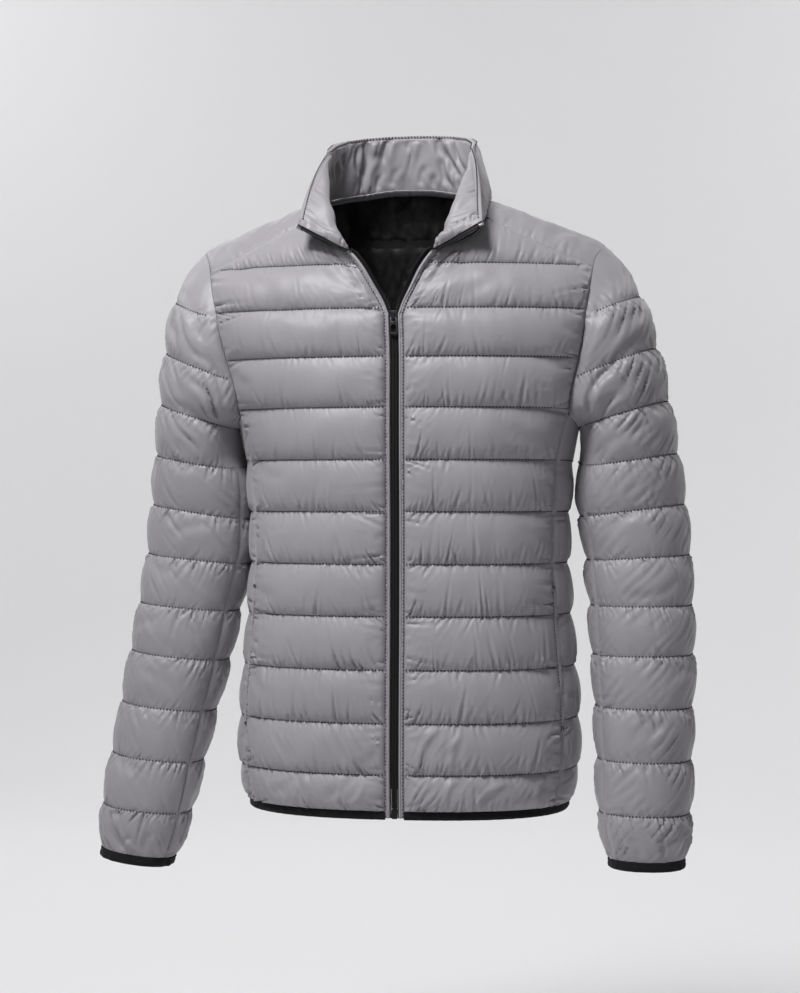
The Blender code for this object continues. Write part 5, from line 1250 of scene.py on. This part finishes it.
def collar_sheet(rows, s):
    """Points and outward normals of the collar's middle surface over its left half, at these distances back
    from its front edge. rows are heights from 0 at the seam to 2 at the top edge, with 1 on the fold."""
    s = s[None, :] + np.zeros((len(rows), 1))
    rows = np.asarray(rows)[:, None]
    fold = np.clip(s / ROLL_LENGTH, 0.25, 0.75)
    h = np.where(rows < 1, rows * fold, fold + (rows - 1) * (1 - fold))
    point = collar_point(s, h)
    step = 1e-3
    ds = collar_point(np.minimum(s + step, NECK_LENGTH), h) - collar_point(np.maximum(s - step, 0), h)
    dh = collar_point(s, np.minimum(h + 0.02, 1)) - collar_point(s, np.maximum(h - 0.02, 0))
    normal = unit(np.cross(ds, dh))
    # the seam edge steps off the shell by half of the collar's thickness where the two meet at an angle
    base = collar_point(s, 0 * h)
    after = collar_point(np.minimum(s + step, NECK_LENGTH), 0 * h)
    line = unit(after - collar_point(np.maximum(s - step, 0), 0 * h))
    shell = form_normal(base[..., 0], base[..., 2], s < SHOULDER_AT)
    off = unit(np.cross(line, shell))
    off *= np.sign((off * (np.array([0, -0.01, 0.12]) - base)).sum(axis=-1, keepdims=True))
    rise = unit(collar_point(s, 0 * h + 0.1) - base)
    lean_over = np.sqrt(np.clip(1 - (off * rise).sum(axis=-1) ** 2, 0, 1))
    step_off = SEAM_GAP * 2 + (COLLAR_EDGE_PAD + SEAM_GAP) * lean_over
    off = rise + (off - rise) * ease(s / 0.012)[..., None]
    point = point + off * (step_off * (1 - h) ** 2)[..., None]
    return point, normal, s, h


def collar():
    half = np.linspace(0, 1, counted(NECK_LENGTH, COLLAR_STEP)) * NECK_LENGTH
    rows = np.linspace(0, 1, counted(COLLAR_HEIGHT, COLLAR_STEP))
    rows = 2 * (rows - 0.09 * np.sin(2 * math.pi * rows) / (2 * math.pi) * 2)
    point, normal, s, h = collar_sheet(rows, half)
    turn = np.concatenate([np.ones(len(half)), -np.ones(len(half) - 1)])
    point, normal, s, h = (np.concatenate([part, part[:, -2::-1]], axis=1) for part in (point, normal, s, h))
    point[..., 0] *= turn
    normal[..., 0] *= turn
    normal[:, len(half) - 1, 0] = 0
    normal = unit(normal)
    run, up = turn * (NECK_LENGTH - s), h * COLLAR_HEIGHT
    to_top, to_seam = (1 - h) * COLLAR_HEIGHT, h * COLLAR_HEIGHT
    from_edge = np.minimum(np.minimum(to_top, to_seam), s)
    thick = COLLAR_EDGE_PAD + (COLLAR_PAD - COLLAR_EDGE_PAD) * pinched(from_edge * 1.6)
    thick *= 1 - 0.45 * np.exp(-((s / 0.035) ** 2))
    groove = TOPSTITCH_GROOVE * np.exp(-(((to_top - TOPSTITCH_IN) / GROOVE_WIDE) ** 2))
    groove = groove * np.clip(s / 0.006, 0, 1)
    for name, node, way, table, share, seed in COLLAR_LAYERS:
        near = point + normal * way * SEAM_GAP / 2
        if way > 0:  # the padding is squeezed inside the fold
            thick = thick * (1 - 0.55 * np.exp(-(((h - np.clip(s / ROLL_LENGTH, 0.1, 1.4)) / 0.22) ** 2)))
        soft = 0.00060 * waves(run, up, seed, 0.030, 10, 40) + drags(run, up, seed + 1, 72, 0.0011, 0.024)
        relief = soft + folds(run, up, table) * share
        inside = np.clip(np.minimum(np.minimum(to_top - 0.0030, to_seam), s) / 0.008, 0, 1)
        relief = relief * inside - groove
        below = to_top - TOPSTITCH_IN * 0.9
        relief += creases(run, below, 0 * run, seed + 2, *COLLAR_CREASES[0]) * (to_top > TOPSTITCH_IN)
        relief += creases(run, to_seam, 0 * run, seed + 3, *COLLAR_CREASES[1])
        relief += creases(up, s, np.sign(turn) + 0 * run, seed + 4, *COLLAR_CREASES[2])
        far = point + normal * (way * (SEAM_GAP / 2 + np.maximum(thick + relief, 0.0004)))[..., None]
        made = cloth_wall(name, far, near, np.stack([run, up], -1), [SHELL_CLOTH])
        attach(made, "jacket")
        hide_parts(node)
        row = int(np.argmin(np.abs(to_top[:, 0] - TOPSTITCH_IN)))
        sew(far, normal * way, [row], np.broadcast_to(s > 0.004, far.shape[:2]))


collar()

# ---------------------------------------------------------------- bindings
# Black stretch tape folded round the raw edge of the hem and of each cuff and stitched down. Being elastic,
# it draws the cloth in a little, and its knit shows as fine ribs across it.
HEM_BOTTOM = -0.6525
BINDING_PROUD = 0.0008  # how far a binding stands out of the cloth that it wraps
WAVES_A_METRE = 3.2  # bands of a wave texture of scale 1
HEM_RINGS, CUFF_RINGS = 420, 161
CUFF_FROM = 0.008  # the binding begins this far below the cuff's seam, in seam numbers
# the binding's section: share of its height from the top edge, steps out of the inner and the outer face
BINDING_SECTION = [
    (0.000, "out", -0.0008), (0.030, "out", 0.0000), (0.140, "out", 0.0004), (0.300, "out", -0.0001),
    (0.400, "out", 0.0003), (0.650, "out", 0.0006), (0.860, "out", 0.0003), (0.960, "out", -0.0006),
    (1.000, "out", -0.0018), (1.000, "in", 0.0018), (0.960, "in", 0.0006), (0.860, "in", -0.0001),
    (0.500, "in", -0.0003), (0.030, "in", 0.0000), (0.000, "in", 0.0008),
]


def tape_cloth(name, colour, ribs, rough):
    """Black knitted or woven tape, with ribs this many to the metre along its length."""
    material, nodes, links, shader = new_material(name)
    uv = cloth_map(nodes)
    rib = texture(nodes, links, "Wave", uv,
                  Scale=ribs / WAVES_A_METRE, Distortion=1.2, Detail=2.0, Detail_Scale=3.0)
    rib.bands_direction = "X"
    tone = texture(nodes, links, "Noise", uv, Scale=240.0, Detail=3.0)
    shade = nodes.new("ShaderNodeMix")
    shade.data_type = "RGBA"
    set_inputs(shade, A=(*(0.6 * c for c in colour), 1), B=(*(1.5 * c for c in colour), 1))
    links.new(tone.outputs["Fac"], shade.inputs["Factor"])
    links.new(shade.outputs["Result"], shader.inputs["Base Color"])
    set_inputs(shader, Roughness=rough, Specular_IOR_Level=0.14, Sheen_Weight=0.03)
    bump = bumped(nodes, links, rib.outputs["Fac"], 0.5, 0.0003)
    links.new(bump.outputs["Normal"], shader.inputs["Normal"])
    return material


BINDING_TAPE = tape_cloth("binding_knit", (0.0100, 0.0094, 0.0110), 1400, 0.80)


def swept_cloth(name, rings, closed, material):
    """A bar whose cross-sections are rings, open with flat ends or closed on itself."""
    count, corners = rings.shape[:2]
    laps = count if closed else count - 1
    index = np.arange(count * corners).reshape(count, corners)
    here, after = index[np.arange(laps)], index[(np.arange(laps) + 1) % count]
    sides = np.stack([here, after, np.roll(after, -1, axis=1), np.roll(here, -1, axis=1)], axis=-1)
    faces = [tuple(face) for face in sides.reshape(-1, 4).tolist()]
    if not closed:
        faces += [tuple(index[0].tolist()), tuple(index[-1, ::-1].tolist())]
    mesh = bpy.data.meshes.new(name)
    mesh.from_pydata(leaned(rings).reshape(-1, 3).tolist(), [], faces)
    shape = bmesh.new()
    shape.from_mesh(mesh)
    if shape.calc_volume(signed=True) < 0:
        bmesh.ops.reverse_faces(shape, faces=shape.faces)
    long = np.concatenate([[0], np.cumsum(np.linalg.norm(np.diff(rings.mean(axis=1), axis=0), axis=1))])
    across = np.concatenate([[0], np.cumsum(np.linalg.norm(np.diff(rings[0], axis=0), axis=1))])
    layer = shape.loops.layers.uv.new("cloth")
    for face in shape.faces:
        first = min(loop.vert.index // corners for loop in face.loops)
        wraps = max(loop.vert.index // corners for loop in face.loops) - first > 1
        for loop in face.loops:
            row, corner = divmod(loop.vert.index, corners)
            lap = long[-1] + long[1] if wraps and row == 0 else long[row]
            loop[layer].uv = (lap, across[corner])
    shape.to_mesh(mesh)
    shape.free()
    mesh.shade_smooth()
    mesh.set_sharp_from_angle(angle=math.radians(50))
    mesh.materials.append(material)
    return linked(name, mesh)


def binding_rings(at, long, seed):
    """The rings of a binding. at gives the points and outward ways at a share of its height, long the metres
    along it."""
    rings = []
    for share, face, step in BINDING_SECTION:
        points, outward = at(share)
        ripple = 0.00022 * waves(long, 0.02 * share + 0 * long, seed, 0.011, 0, 25)
        offset = BINDING_PROUD + step + ripple if face == "out" else -WALL - BINDING_PROUD + step + ripple
        rings.append(points + outward * np.asarray(offset)[..., None])
    return np.stack(rings, axis=1)


def hem_ring(z, count):
    """The hem's outline at height z from one side of the zip round the back to the other."""
    start = float(placket_edge(np.array(HEM_BOTTOM))) + SEAM_GAP
    depth_front, depth_back, half = (float(curve(HEIGHT, values, z))
                                     for values in (FRONT_DEPTH, BACK_DEPTH, HALF_WIDTH))
    first = math.asin((start / half) ** (SECTION_POWER / 2))
    turn = np.linspace(first, 2 * math.pi - first, count)
    x = half * signed_power(np.sin(turn), 2 / SECTION_POWER)
    depth = np.where(np.cos(turn) > 0, depth_front, depth_back)
    y = -depth * signed_power(np.cos(turn), 2 / SECTION_POWER)
    points = along(np.stack([x, y, np.full_like(x, z)], axis=-1), np.linspace(0, 1, count))
    tangent = unit(np.gradient(points, axis=0))
    outward = np.stack([-tangent[:, 1], tangent[:, 0], 0 * tangent[:, 2]], axis=-1)
    outward *= np.sign((outward * points).sum(-1, keepdims=True))
    return points, unit(outward)


def hem_binding():
    top, bottom = QUILT[0] - SEAM_GAP, HEM_BOTTOM
    rings = binding_rings(lambda share: hem_ring(top + (bottom - top) * share, HEM_RINGS),
                          np.linspace(0, 1.02, HEM_RINGS), 401)
    hem = swept_cloth("hem_tape", rings, False, BINDING_TAPE)
    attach(hem, "jacket")
    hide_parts("hem_binding")


def cuff_binding(side, label, seed):
    degrees = np.linspace(-180, 180, CUFF_RINGS)[:-1]

    def at(share):
        s = np.full_like(degrees, CUFF_SEAM + CUFF_FROM + (CUFF_END - CUFF_SEAM - CUFF_FROM) * share)
        points = sleeve_point(s, degrees, side)
        after = sleeve_point(s, np.where(degrees > 178, degrees - 358, degrees + 2), side)
        before = sleeve_point(s, np.where(degrees < -178, degrees + 358, degrees - 2), side)
        axis = sleeve_point(s + 0.05, degrees, side) - sleeve_point(s - 0.05, degrees, side)
        outward = unit(np.cross(after - before, axis))
        outward *= np.sign((outward * (points - points.mean(axis=0))).sum(-1, keepdims=True))
        return points, outward

    rings = binding_rings(at, np.radians(degrees) * 0.035, seed)
    rings[..., 0] *= side
    cuff = swept_cloth(f"cuff_tape_{label}", rings, True, BINDING_TAPE)
    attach(cuff, "jacket")
    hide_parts(f"cuff_binding_{label}")


hem_binding()
cuff_binding(1, "left", 411)
cuff_binding(-1, "right", 421)

# ---------------------------------------------------------------- edge strips
# The front's own cloth, folded over the zip tape: a rounded fold against the zip, and a flat allowance held
# down by a line of topstitching.

# the strip's section: share of its width from the zip, height over the shell in metres
STRIP_SECTION = [
    (0.03, -0.0025), (0.03, 0.0002), (0.08, 0.0009), (0.17, 0.0014), (0.28, 0.0016), (0.38, 0.0014),
    (0.46, 0.0009), (0.52, 0.0004), (0.58, 0.0005), (0.68, 0.0009), (0.76, 0.0008), (0.83, 0.0004),
    (0.88, 0.0003), (0.93, 0.0005), (0.97, 0.0004), (0.97, -0.0025),
]
STRIP_STITCH = 0.86  # where the topstitching runs, as a share of the width
ZIP_LEVELS = np.linspace(HEM_BOTTOM + 0.002, NECK_FRONT[-1, 1], 330)


def edge_strip(label, side, seed):
    slant = placket_edge(ZIP_LEVELS) - zip_edge(ZIP_LEVELS)
    corners = []
    for share, proud in STRIP_SECTION:
        x = zip_edge(ZIP_LEVELS) + slant * share
        z = np.append(ZIP_LEVELS[:-1], np.interp(x[-1], *TOP_EDGES[True]) - SEAM_GAP / 2)
        ripple = 0
        if proud > 0:
            ripple = 0.00022 * waves(z, 0.03 * share + 0 * z, seed, 0.009, 0, 20) * (share > 0.45)
            ripple = ripple + 0.00008 * waves(z, 0 * z, seed + 1, 0.020, 0, 20)
        normal = form_normal(x, z, True)
        proud = np.asarray(proud + ripple)[..., None]
        corners.append(np.stack([x, chest_y(x, z), z], axis=-1) + normal * proud)
        corners[-1][:, 0] *= side
    strip = swept_cloth(f"edge_strip_{label}", np.stack(corners, axis=1), False, SHELL_CLOTH)
    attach(strip, "jacket")
    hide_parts(f"placket_{label}")
    x, z = zip_edge(ZIP_LEVELS) + slant * STRIP_STITCH, ZIP_LEVELS
    line = np.stack([x, chest_y(x, z), z], axis=-1) + form_normal(x, z, True) * 0.0005
    return line * np.array([side, 1, 1]), form_normal(x, z, True) * np.array([side, 1, 1])


SEWN_LINES += [edge_strip("left", 1, 501), edge_strip("right", -1, 511)]

# ---------------------------------------------------------------- zip
# A black coil zip, sewn in with its coil to the back, so that the flat woven faces of its two tapes meet in
# front of it. Above the slider it is open, and each side follows its edge of the front and of the collar up
# to a metal stop.
SLIDER_BOTTOM, SLIDER_TOP = -0.1352, -0.1253
TAPE_THICK = 0.0012
TURN_CLEAR = 0.0012  # the tape stands off the cloth this far where it turns over at the collar's corner
TURNS = 12  # steps in which it turns over
TAPE_HANG = np.array([0.25, -0.25, -1.0])  # the way it hangs from the turned-out collar
COIL_PITCH = 0.0015
COIL_SIZE = (0.0024, 0.0010, 0.0006)  # length, width and height of a rib
COIL_SLANT = 0.22  # a rib's lean along the zip
# the closed chain's section: from the middle to one side, distance and height over the front, both in metres
CHAIN_SECTION = [(0.0, 0.0005), (0.0003, 0.0009), (0.0010, 0.0011), (0.0022, 0.0010), (0.00285, 0.0006),
                 (0.00285, -0.0010)]

ZIP_TAPE = tape_cloth("zip_tape_woven", (0.0075, 0.0075, 0.0082), 2200, 0.66)


def plain_finish(name, colour, rough, metallic, grain, specular=0.5):
    """A smooth hard finish with a trace of uneven gloss."""
    material, nodes, links, shader = new_material(name)
    place = nodes.new("ShaderNodeTexCoord").outputs["Object"]
    tone = texture(nodes, links, "Noise", place, Scale=grain, Detail=3.0).outputs["Fac"]
    uneven_gloss(nodes, links, tone, rough - 0.06, rough + 0.06, shader)
    set_inputs(shader, Base_Color=(*colour, 1), Metallic=metallic, Specular_IOR_Level=specular)
    return material


COIL_NYLON = plain_finish("coil_nylon", (0.008, 0.008, 0.009), 0.55, 0.0, 900, 0.22)
GREY_PAINT = plain_finish("slider_paint", (0.030, 0.030, 0.034), 0.34, 0.4, 700)
STOP_METAL = plain_finish("stop_metal", (0.42, 0.42, 0.43), 0.30, 1.0, 900)


def zip_path():
    """The left zip edge from the hem to the collar's corner: point in the middle of the wall, way off the
    cloth for each metre, outward normal."""
    z = ZIP_LEVELS
    x = zip_edge(z)
    slant = np.sqrt(1 + ((zip_edge(z + 0.002) - zip_edge(z - 0.002)) / 0.004) ** 2)
    tiny = 1e-3

    def at(xx, zz):
        return np.stack([xx, chest_y(xx, zz), zz], axis=-1) - form_normal(xx, zz, True) * WALL / 2

    edge = at(x, z)
    shell_normal = form_normal(x, z, True)
    off = (at(x - slant * tiny, z) - at(x + slant * tiny, z)) / 2 / tiny
    point, outwards = collar_sheet(np.linspace(0.5, 2.0, 32), np.array([0.0]))[:2]
    edge = np.concatenate([edge, point[:, 0]])
    tangent = unit(np.gradient(edge, axis=0))
    # on the turned-out collar the tape hangs from the edge and shows its face
    beside_collar = unit(np.cross(outwards[:, 0], tangent[len(z):]))
    hanging = TAPE_HANG - (tangent[len(z):] @ TAPE_HANG)[:, None] * tangent[len(z):]
    off = np.concatenate([off, unit(0.4 * beside_collar + unit(hanging))])
    # between the front and the collar the tape turns over, about its own line
    last = len(z) - 1
    share = np.arange(1, TURNS) / TURNS
    between = edge[last] + (edge[last + 1] - edge[last]) * share[:, None]
    edge = np.insert(edge, [last + 1] * (TURNS - 1), between, axis=0)
    off = np.insert(off, [last + 1] * (TURNS - 1), off[last], axis=0)
    tangent = unit(np.gradient(edge, axis=0))
    forwards = np.array([0, -1.0, 0])
    ahead = unit(forwards - (tangent @ forwards)[:, None] * tangent)
    beside = np.cross(tangent, ahead)
    turn = np.arctan2((off * beside).sum(-1), (off * ahead).sum(-1))
    angle = turn[last] + (turn[last + TURNS] - turn[last]) * share
    rings = slice(last + 1, last + TURNS)
    off[rings] = ahead[rings] * np.cos(angle)[:, None] + beside[rings] * np.sin(angle)[:, None]
    edge[rings] += off[rings] * TURN_CLEAR * np.sin(math.pi * share)[:, None]
    edge[last] += unit(off[last]) * TURN_CLEAR / 4
    normal = unit(np.cross(tangent, off))
    normal[:last + 1] = shell_normal
    return edge, off, normal


def zip_bar(name, node, side, rows, profile, material):
    edge, off, normal = (part[rows] for part in zip_path())
    rings = np.stack([edge + off * a + normal * b for a, b in profile], axis=1)
    rings[..., 0] *= side
    bar = swept_cloth(name, rings, False, material)
    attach(bar, "jacket")
    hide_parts(node)


RIB_INPUTS = ("Rib length", "Rib width", "Rib height", "Material")


def coil_tree():
    """Rows of small ribs: one on each point of a mesh that carries the way along the rib and the way out."""
    tree = bpy.data.node_groups.new("coil_ribs", "GeometryNodeTree")
    face = tree.interface
    face.new_socket("Geometry", in_out="INPUT", socket_type="NodeSocketGeometry")
    for name in RIB_INPUTS[:3]:
        face.new_socket(name, in_out="INPUT", socket_type="NodeSocketFloat")
    face.new_socket("Material", in_out="INPUT", socket_type="NodeSocketMaterial")
    face.new_socket("Geometry", in_out="OUTPUT", socket_type="NodeSocketGeometry")
    nodes, links = tree.nodes, tree.links
    given, result = nodes.new("NodeGroupInput"), nodes.new("NodeGroupOutput")
    ball = nodes.new("GeometryNodeMeshUVSphere")
    set_inputs(ball, Segments=6, Rings=4, Radius=0.5)
    size = nodes.new("ShaderNodeCombineXYZ")
    for name, axis in zip(RIB_INPUTS, "ZXY"):
        links.new(given.outputs[name], size.inputs[axis])
    turned = []
    for attribute in ("rib_way", "rib_out"):
        way = nodes.new("GeometryNodeInputNamedAttribute")
        way.data_type = "FLOAT_VECTOR"
        way.inputs["Name"].default_value = attribute
        turned.append(way)
    first = nodes.new("FunctionNodeAlignRotationToVector")
    first.axis = "Z"
    links.new(turned[0].outputs["Attribute"], first.inputs["Vector"])
    second = nodes.new("FunctionNodeAlignRotationToVector")
    second.axis = "Y"
    second.pivot_axis = "Z"
    links.new(first.outputs["Rotation"], second.inputs["Rotation"])
    links.new(turned[1].outputs["Attribute"], second.inputs["Vector"])
    ribs = nodes.new("GeometryNodeInstanceOnPoints")
    links.new(given.outputs["Geometry"], ribs.inputs["Points"])
    links.new(ball.outputs["Mesh"], ribs.inputs["Instance"])
    links.new(second.outputs["Rotation"], ribs.inputs["Rotation"])
    links.new(size.outputs["Vector"], ribs.inputs["Scale"])
    real = nodes.new("GeometryNodeRealizeInstances")
    links.new(ribs.outputs["Instances"], real.inputs["Geometry"])
    smooth = nodes.new("GeometryNodeSetShadeSmooth")
    links.new(real.outputs["Geometry"], smooth.inputs["Geometry"])
    painted = nodes.new("GeometryNodeSetMaterial")
    links.new(smooth.outputs["Geometry"], painted.inputs["Geometry"])
    links.new(given.outputs["Material"], painted.inputs["Material"])
    links.new(painted.outputs["Geometry"], result.inputs["Geometry"])
    return tree


def grown(name, rows, size, material):
    """A plain mesh object of ribs of this length, width and height. Each row holds their places, the ways
    along them and the ways out."""
    points, ways, outs = (np.concatenate(row) for row in zip(*rows))
    mesh = bpy.data.meshes.new(name)
    mesh.from_pydata(leaned(points).tolist(), [], [])
    for attribute, vectors in (("rib_way", ways), ("rib_out", outs)):
        stored = mesh.attributes.new(attribute, "FLOAT_VECTOR", "POINT")
        stored.data.foreach_set("vector", np.asarray(vectors, np.float32).reshape(-1))
    seed_object = linked(name, mesh)
    tree = coil_tree()
    values = dict(zip(RIB_INPUTS, (*size, material)))
    growth = seed_object.modifiers.new("growth", "NODES")
    growth.node_group = tree
    for item in tree.interface.items_tree:
        if item.in_out == "INPUT" and item.name in values:
            growth[item.identifier] = values[item.name]
    ready = seed_object.evaluated_get(bpy.context.evaluated_depsgraph_get())
    grown_mesh = bpy.data.meshes.new_from_object(ready)
    seed_object.modifiers.remove(growth)
    seed_object.data = grown_mesh
    grown_mesh.name = name
    return seed_object


def evenly(line, others, pitch):
    """Points this far apart along a line, with the other rows of vectors carried along."""
    reached = np.concatenate([[0], np.cumsum(np.linalg.norm(np.diff(line, axis=0), axis=1))])
    places = np.arange(pitch * 0.5, reached[-1] - pitch * 0.3, pitch)
    return [np.stack([np.interp(places, reached, rows[:, k]) for k in range(3)], axis=-1)
            for rows in (line, *others)]


def zip_closure():
    half, gap = TAPE_THICK / 2, SEAM_GAP / 2
    edge, off, normal = zip_path()
    opened = slice(int(np.searchsorted(ZIP_LEVELS, SLIDER_TOP)), -1)
    rows = []
    for side, label in ((1, "left"), (-1, "right")):
        turn = np.array([side, 1, 1])
        tape = [(gap, -half), (gap, half * 0.8), (gap + 0.0004, half),
                (TAPE_WIDTH - gap, half), (TAPE_WIDTH - gap, -half)]
        zip_bar(f"zip_band_{label}", f"zip_tape_{label}", side, slice(0, None), tape, ZIP_TAPE)
        teeth = [(TAPE_WIDTH + 2 * gap, -0.0009), (TAPE_WIDTH + 2 * gap, 0.0006),
                 (TAPE_WIDTH + 0.0009, 0.0009), (TAPE_WIDTH + ZIP_HALF - 0.0012, 0.0008),
                 (TAPE_WIDTH + ZIP_HALF - 0.0009, 0.0002), (TAPE_WIDTH + ZIP_HALF - 0.0009, -0.0008)]
        zip_bar(f"zip_coil_{label}", f"zip_teeth_{label}", side, opened, teeth, COIL_NYLON)
        way, out = unit(off[opened]), normal[opened]
        along_edge = unit(np.gradient(edge, axis=0))[opened]
        middle = edge[opened] + off[opened] * (TAPE_WIDTH + ZIP_HALF / 2 + 0.0002) + out * 0.0007
        slanted = unit(way + COIL_SLANT * along_edge) * turn
        rows.append(evenly(middle * turn, (slanted, out * turn), COIL_PITCH))
    # below the slider the two halves are one chain, with a furrow between the tapes
    level = np.linspace(HEM_BOTTOM + 0.012, SLIDER_BOTTOM - SEAM_GAP, 300)
    front = front_y(0 * level, level) + WALL / 2
    section = [(-a, b) for a, b in CHAIN_SECTION[:0:-1]] + CHAIN_SECTION
    rings = np.stack([np.stack([0 * level + a, front - b, level], axis=-1) for a, b in section], axis=1)
    chain = swept_cloth("zip_closed_chain", rings, False, ZIP_TAPE)
    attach(chain, "jacket")
    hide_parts("zip_chain")
    slope = np.gradient(front, level)
    out = unit(np.stack([0 * level, -1 + 0 * level, slope], axis=-1))
    for side in (1, -1):
        line = np.stack([0 * level + side * 0.00155, front - 0.00085, level], axis=-1)
        way = unit(np.stack([side + 0 * level, 0 * level, COIL_SLANT + 0 * level], axis=-1))
        rows.append(evenly(line, (way, out), COIL_PITCH))
    ribs = grown("zip_coil_ribs", rows, COIL_SIZE, COIL_NYLON)
    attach(ribs, "jacket")


def eased_metal(name, body, material, slot, width):
    """A CAD node's own form with its edges eased."""
    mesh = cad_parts[name].data.copy()
    shape = bmesh.new()
    shape.from_mesh(mesh)
    bmesh.ops.remove_doubles(shape, verts=shape.verts, dist=1e-6)
    bmesh.ops.dissolve_limit(shape, angle_limit=math.radians(1), verts=shape.verts, edges=shape.edges)
    shape.to_mesh(mesh)
    shape.free()
    mesh.materials.clear()
    mesh.materials.append(material)
    piece = linked(f"{name}_metal", mesh)
    bevel = piece.modifiers.new("eased", "BEVEL")
    bevel.width = width
    bevel.segments = 2
    bevel.limit_method = "ANGLE"
    bevel.angle_limit = math.radians(35)
    bevel.harden_normals = True
    mesh.shade_smooth()
    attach(piece, body)
    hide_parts(name)


zip_closure()
# node, body, finish, slot, width of the eased edge
for hard_piece in (("zip_slider", "jacket", GREY_PAINT, "zip_metal", 0.00025),
                   ("zip_pull", "pull_tab", GREY_PAINT, "zip_metal", 0.00025),
                   ("zip_box", "jacket", COIL_NYLON, "zip", 0.00030),
                   ("zip_stop_left", "jacket", STOP_METAL, "zip_metal", 0.00020),
                   ("zip_stop_right", "jacket", STOP_METAL, "zip_metal", 0.00020)):
    eased_metal(*hard_piece)

# ---------------------------------------------------------------- neck tape
# A strip of the shell's cloth, folded and sewn flat over the neck seam inside, where the facing meets the
# lining. Its two edges are stitched down, and it shows as a light ridge across the back of the neck.
NECK_TAPE_IN = 0.0042  # how far inside the back's outer surface it lies
NECK_TAPE_STITCHED = (0.0034, -0.0018)  # heights of its two lines of stitching over the seam
# the tape's section: height up from the seam, height off the cloth, both in metres
NECK_TAPE_SECTION = [
    (0.0050, -0.0010), (0.0050, 0.0002), (0.0030, 0.0008), (0.0004, 0.0010),
    (-0.0016, 0.0008), (-0.0030, 0.0001), (-0.0030, -0.0010),
]


def neck_tape():
    s = np.linspace(0.62 * ROLL_LENGTH, NECK_LENGTH, 110)
    base = along(NECK, s / NECK_LENGTH)
    line = unit(np.gradient(base, axis=0))
    inwards = -form_normal(base[:, 0], base[:, 2], s < SHOULDER_AT)
    rise = unit(np.cross(line, inwards))
    rise *= np.sign(rise[:, 2:])
    middle = base + inwards * NECK_TAPE_IN
    ripple = 0.00015 * waves(s, 0 * s, 551, 0.010, 0, 20)
    rings = np.stack([middle + rise * up + inwards * (high + ripple * (high > 0))[:, None]
                      for up, high in NECK_TAPE_SECTION], axis=1)
    rings[-1, :, 0] = 0

    def both_halves(part):
        return np.concatenate([part, (part * np.array([-1, 1, 1]))[-2::-1]])

    rings = both_halves(rings)
    tape = swept_cloth("neck_seam_tape", rings, False, SHELL_CLOTH)
    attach(tape, "jacket")
    for up in NECK_TAPE_STITCHED:
        row = middle + rise * up + inwards * 0.0011
        SEWN_LINES.append((both_halves(row), both_halves(inwards)))


neck_tape()

# ---------------------------------------------------------------- pocket mouths
# The hand pockets open in the front side seams. Each mouth's edge is folded back and topstitched, lies closed
# against the side panel and is held at both ends by a bar tack.
POCKET_TOP, POCKET_BOTTOM = -0.410, -0.565
# the fold's section: way round to the side panel, height off the cloth, both in metres
POCKET_SECTION = [
    (-0.0042, -0.0012), (-0.0042, 0.0003), (-0.0030, 0.0012), (-0.0010, 0.0022),
    (0.0006, 0.0025), (0.0015, 0.0015), (0.0012, -0.0012),
]
TACK_LENGTH = 0.0055
TACK_ROWS = (-0.0009, 0.0, 0.0009)  # a bar tack's stitches, as distances along the seam


def pocket_mouth(label, side, seed):
    z = np.linspace(POCKET_BOTTOM, POCKET_TOP, 120)
    x = side_edge(z, True)
    seam = np.stack([x, front_y(x, z), z], axis=-1)
    normal = form_normal(x, z, True)
    line = unit(np.gradient(seam, axis=0))
    way = unit(np.cross(normal, line))
    way *= np.sign(way[:, :1])
    taper = np.sqrt(np.sin(math.pi * np.clip(np.linspace(0.01, 0.99, len(z)), 0, 1)).clip(0, 1)) ** 0.5
    ripple = 0.0007 * waves(z, 0 * z, seed, 0.014, 0, 20) + 0.0010 * waves(z, 0 * z, seed + 1, 0.050, 0, 20)
    rings = np.stack([seam + way * (across_seam + ripple * (across_seam > -0.002))[:, None]
                      + normal * (high * np.where(high > 0, taper, 1))[:, None]
                      for across_seam, high in POCKET_SECTION], axis=1)
    turn = np.array([side, 1, 1])
    fold = swept_cloth(f"pocket_mouth_{label}", rings * turn, False, SHELL_CLOTH)
    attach(fold, "jacket")
    SEWN_LINES.append(((seam - way * 0.0030 + normal * 0.0012) * turn, normal * turn))
    for end in (3, -4):
        for row in TACK_ROWS:
            across_tack = np.linspace(-TACK_LENGTH, TACK_LENGTH * 0.4, 6)[:, None]
            tack = seam[end] + way[end] * across_tack + normal[end] * 0.0019 + line[end] * row
            SEWN_LINES.append((tack * turn, np.repeat(normal[end][None, :], 6, axis=0) * turn))


pocket_mouth("left", 1, 561)
pocket_mouth("right", -1, 571)

# ---------------------------------------------------------------- stitches
# Lockstitch in grey thread: along every quilting seam, the edge strips, the collar's top edge, the neck tape
# and the pocket mouths, whose ends it bars. Each stitch lies in the furrow that it has pulled into the cloth.
STITCH_PITCH = 0.0036
STITCH_SIZE = (0.0019, 0.0016, 0.0011)  # length, width and height


def grey_thread():
    material, nodes, links, shader = new_material("thread_grey")
    place = nodes.new("ShaderNodeTexCoord").outputs["Object"]
    twist = texture(nodes, links, "Noise", place, Scale=2200.0).outputs["Fac"]
    colour = two_tone(nodes, links, twist, (0.020, 0.019, 0.021), (0.042, 0.040, 0.044))
    links.new(colour, shader.inputs["Base Color"])
    set_inputs(shader, Roughness=0.62)
    return material


def stitches():
    rows = [evenly(line, (unit(np.gradient(line, axis=0)), out), STITCH_PITCH) for line, out in SEWN_LINES]
    made = grown("stitches", rows, STITCH_SIZE, grey_thread())
    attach(made, "jacket")


stitches()
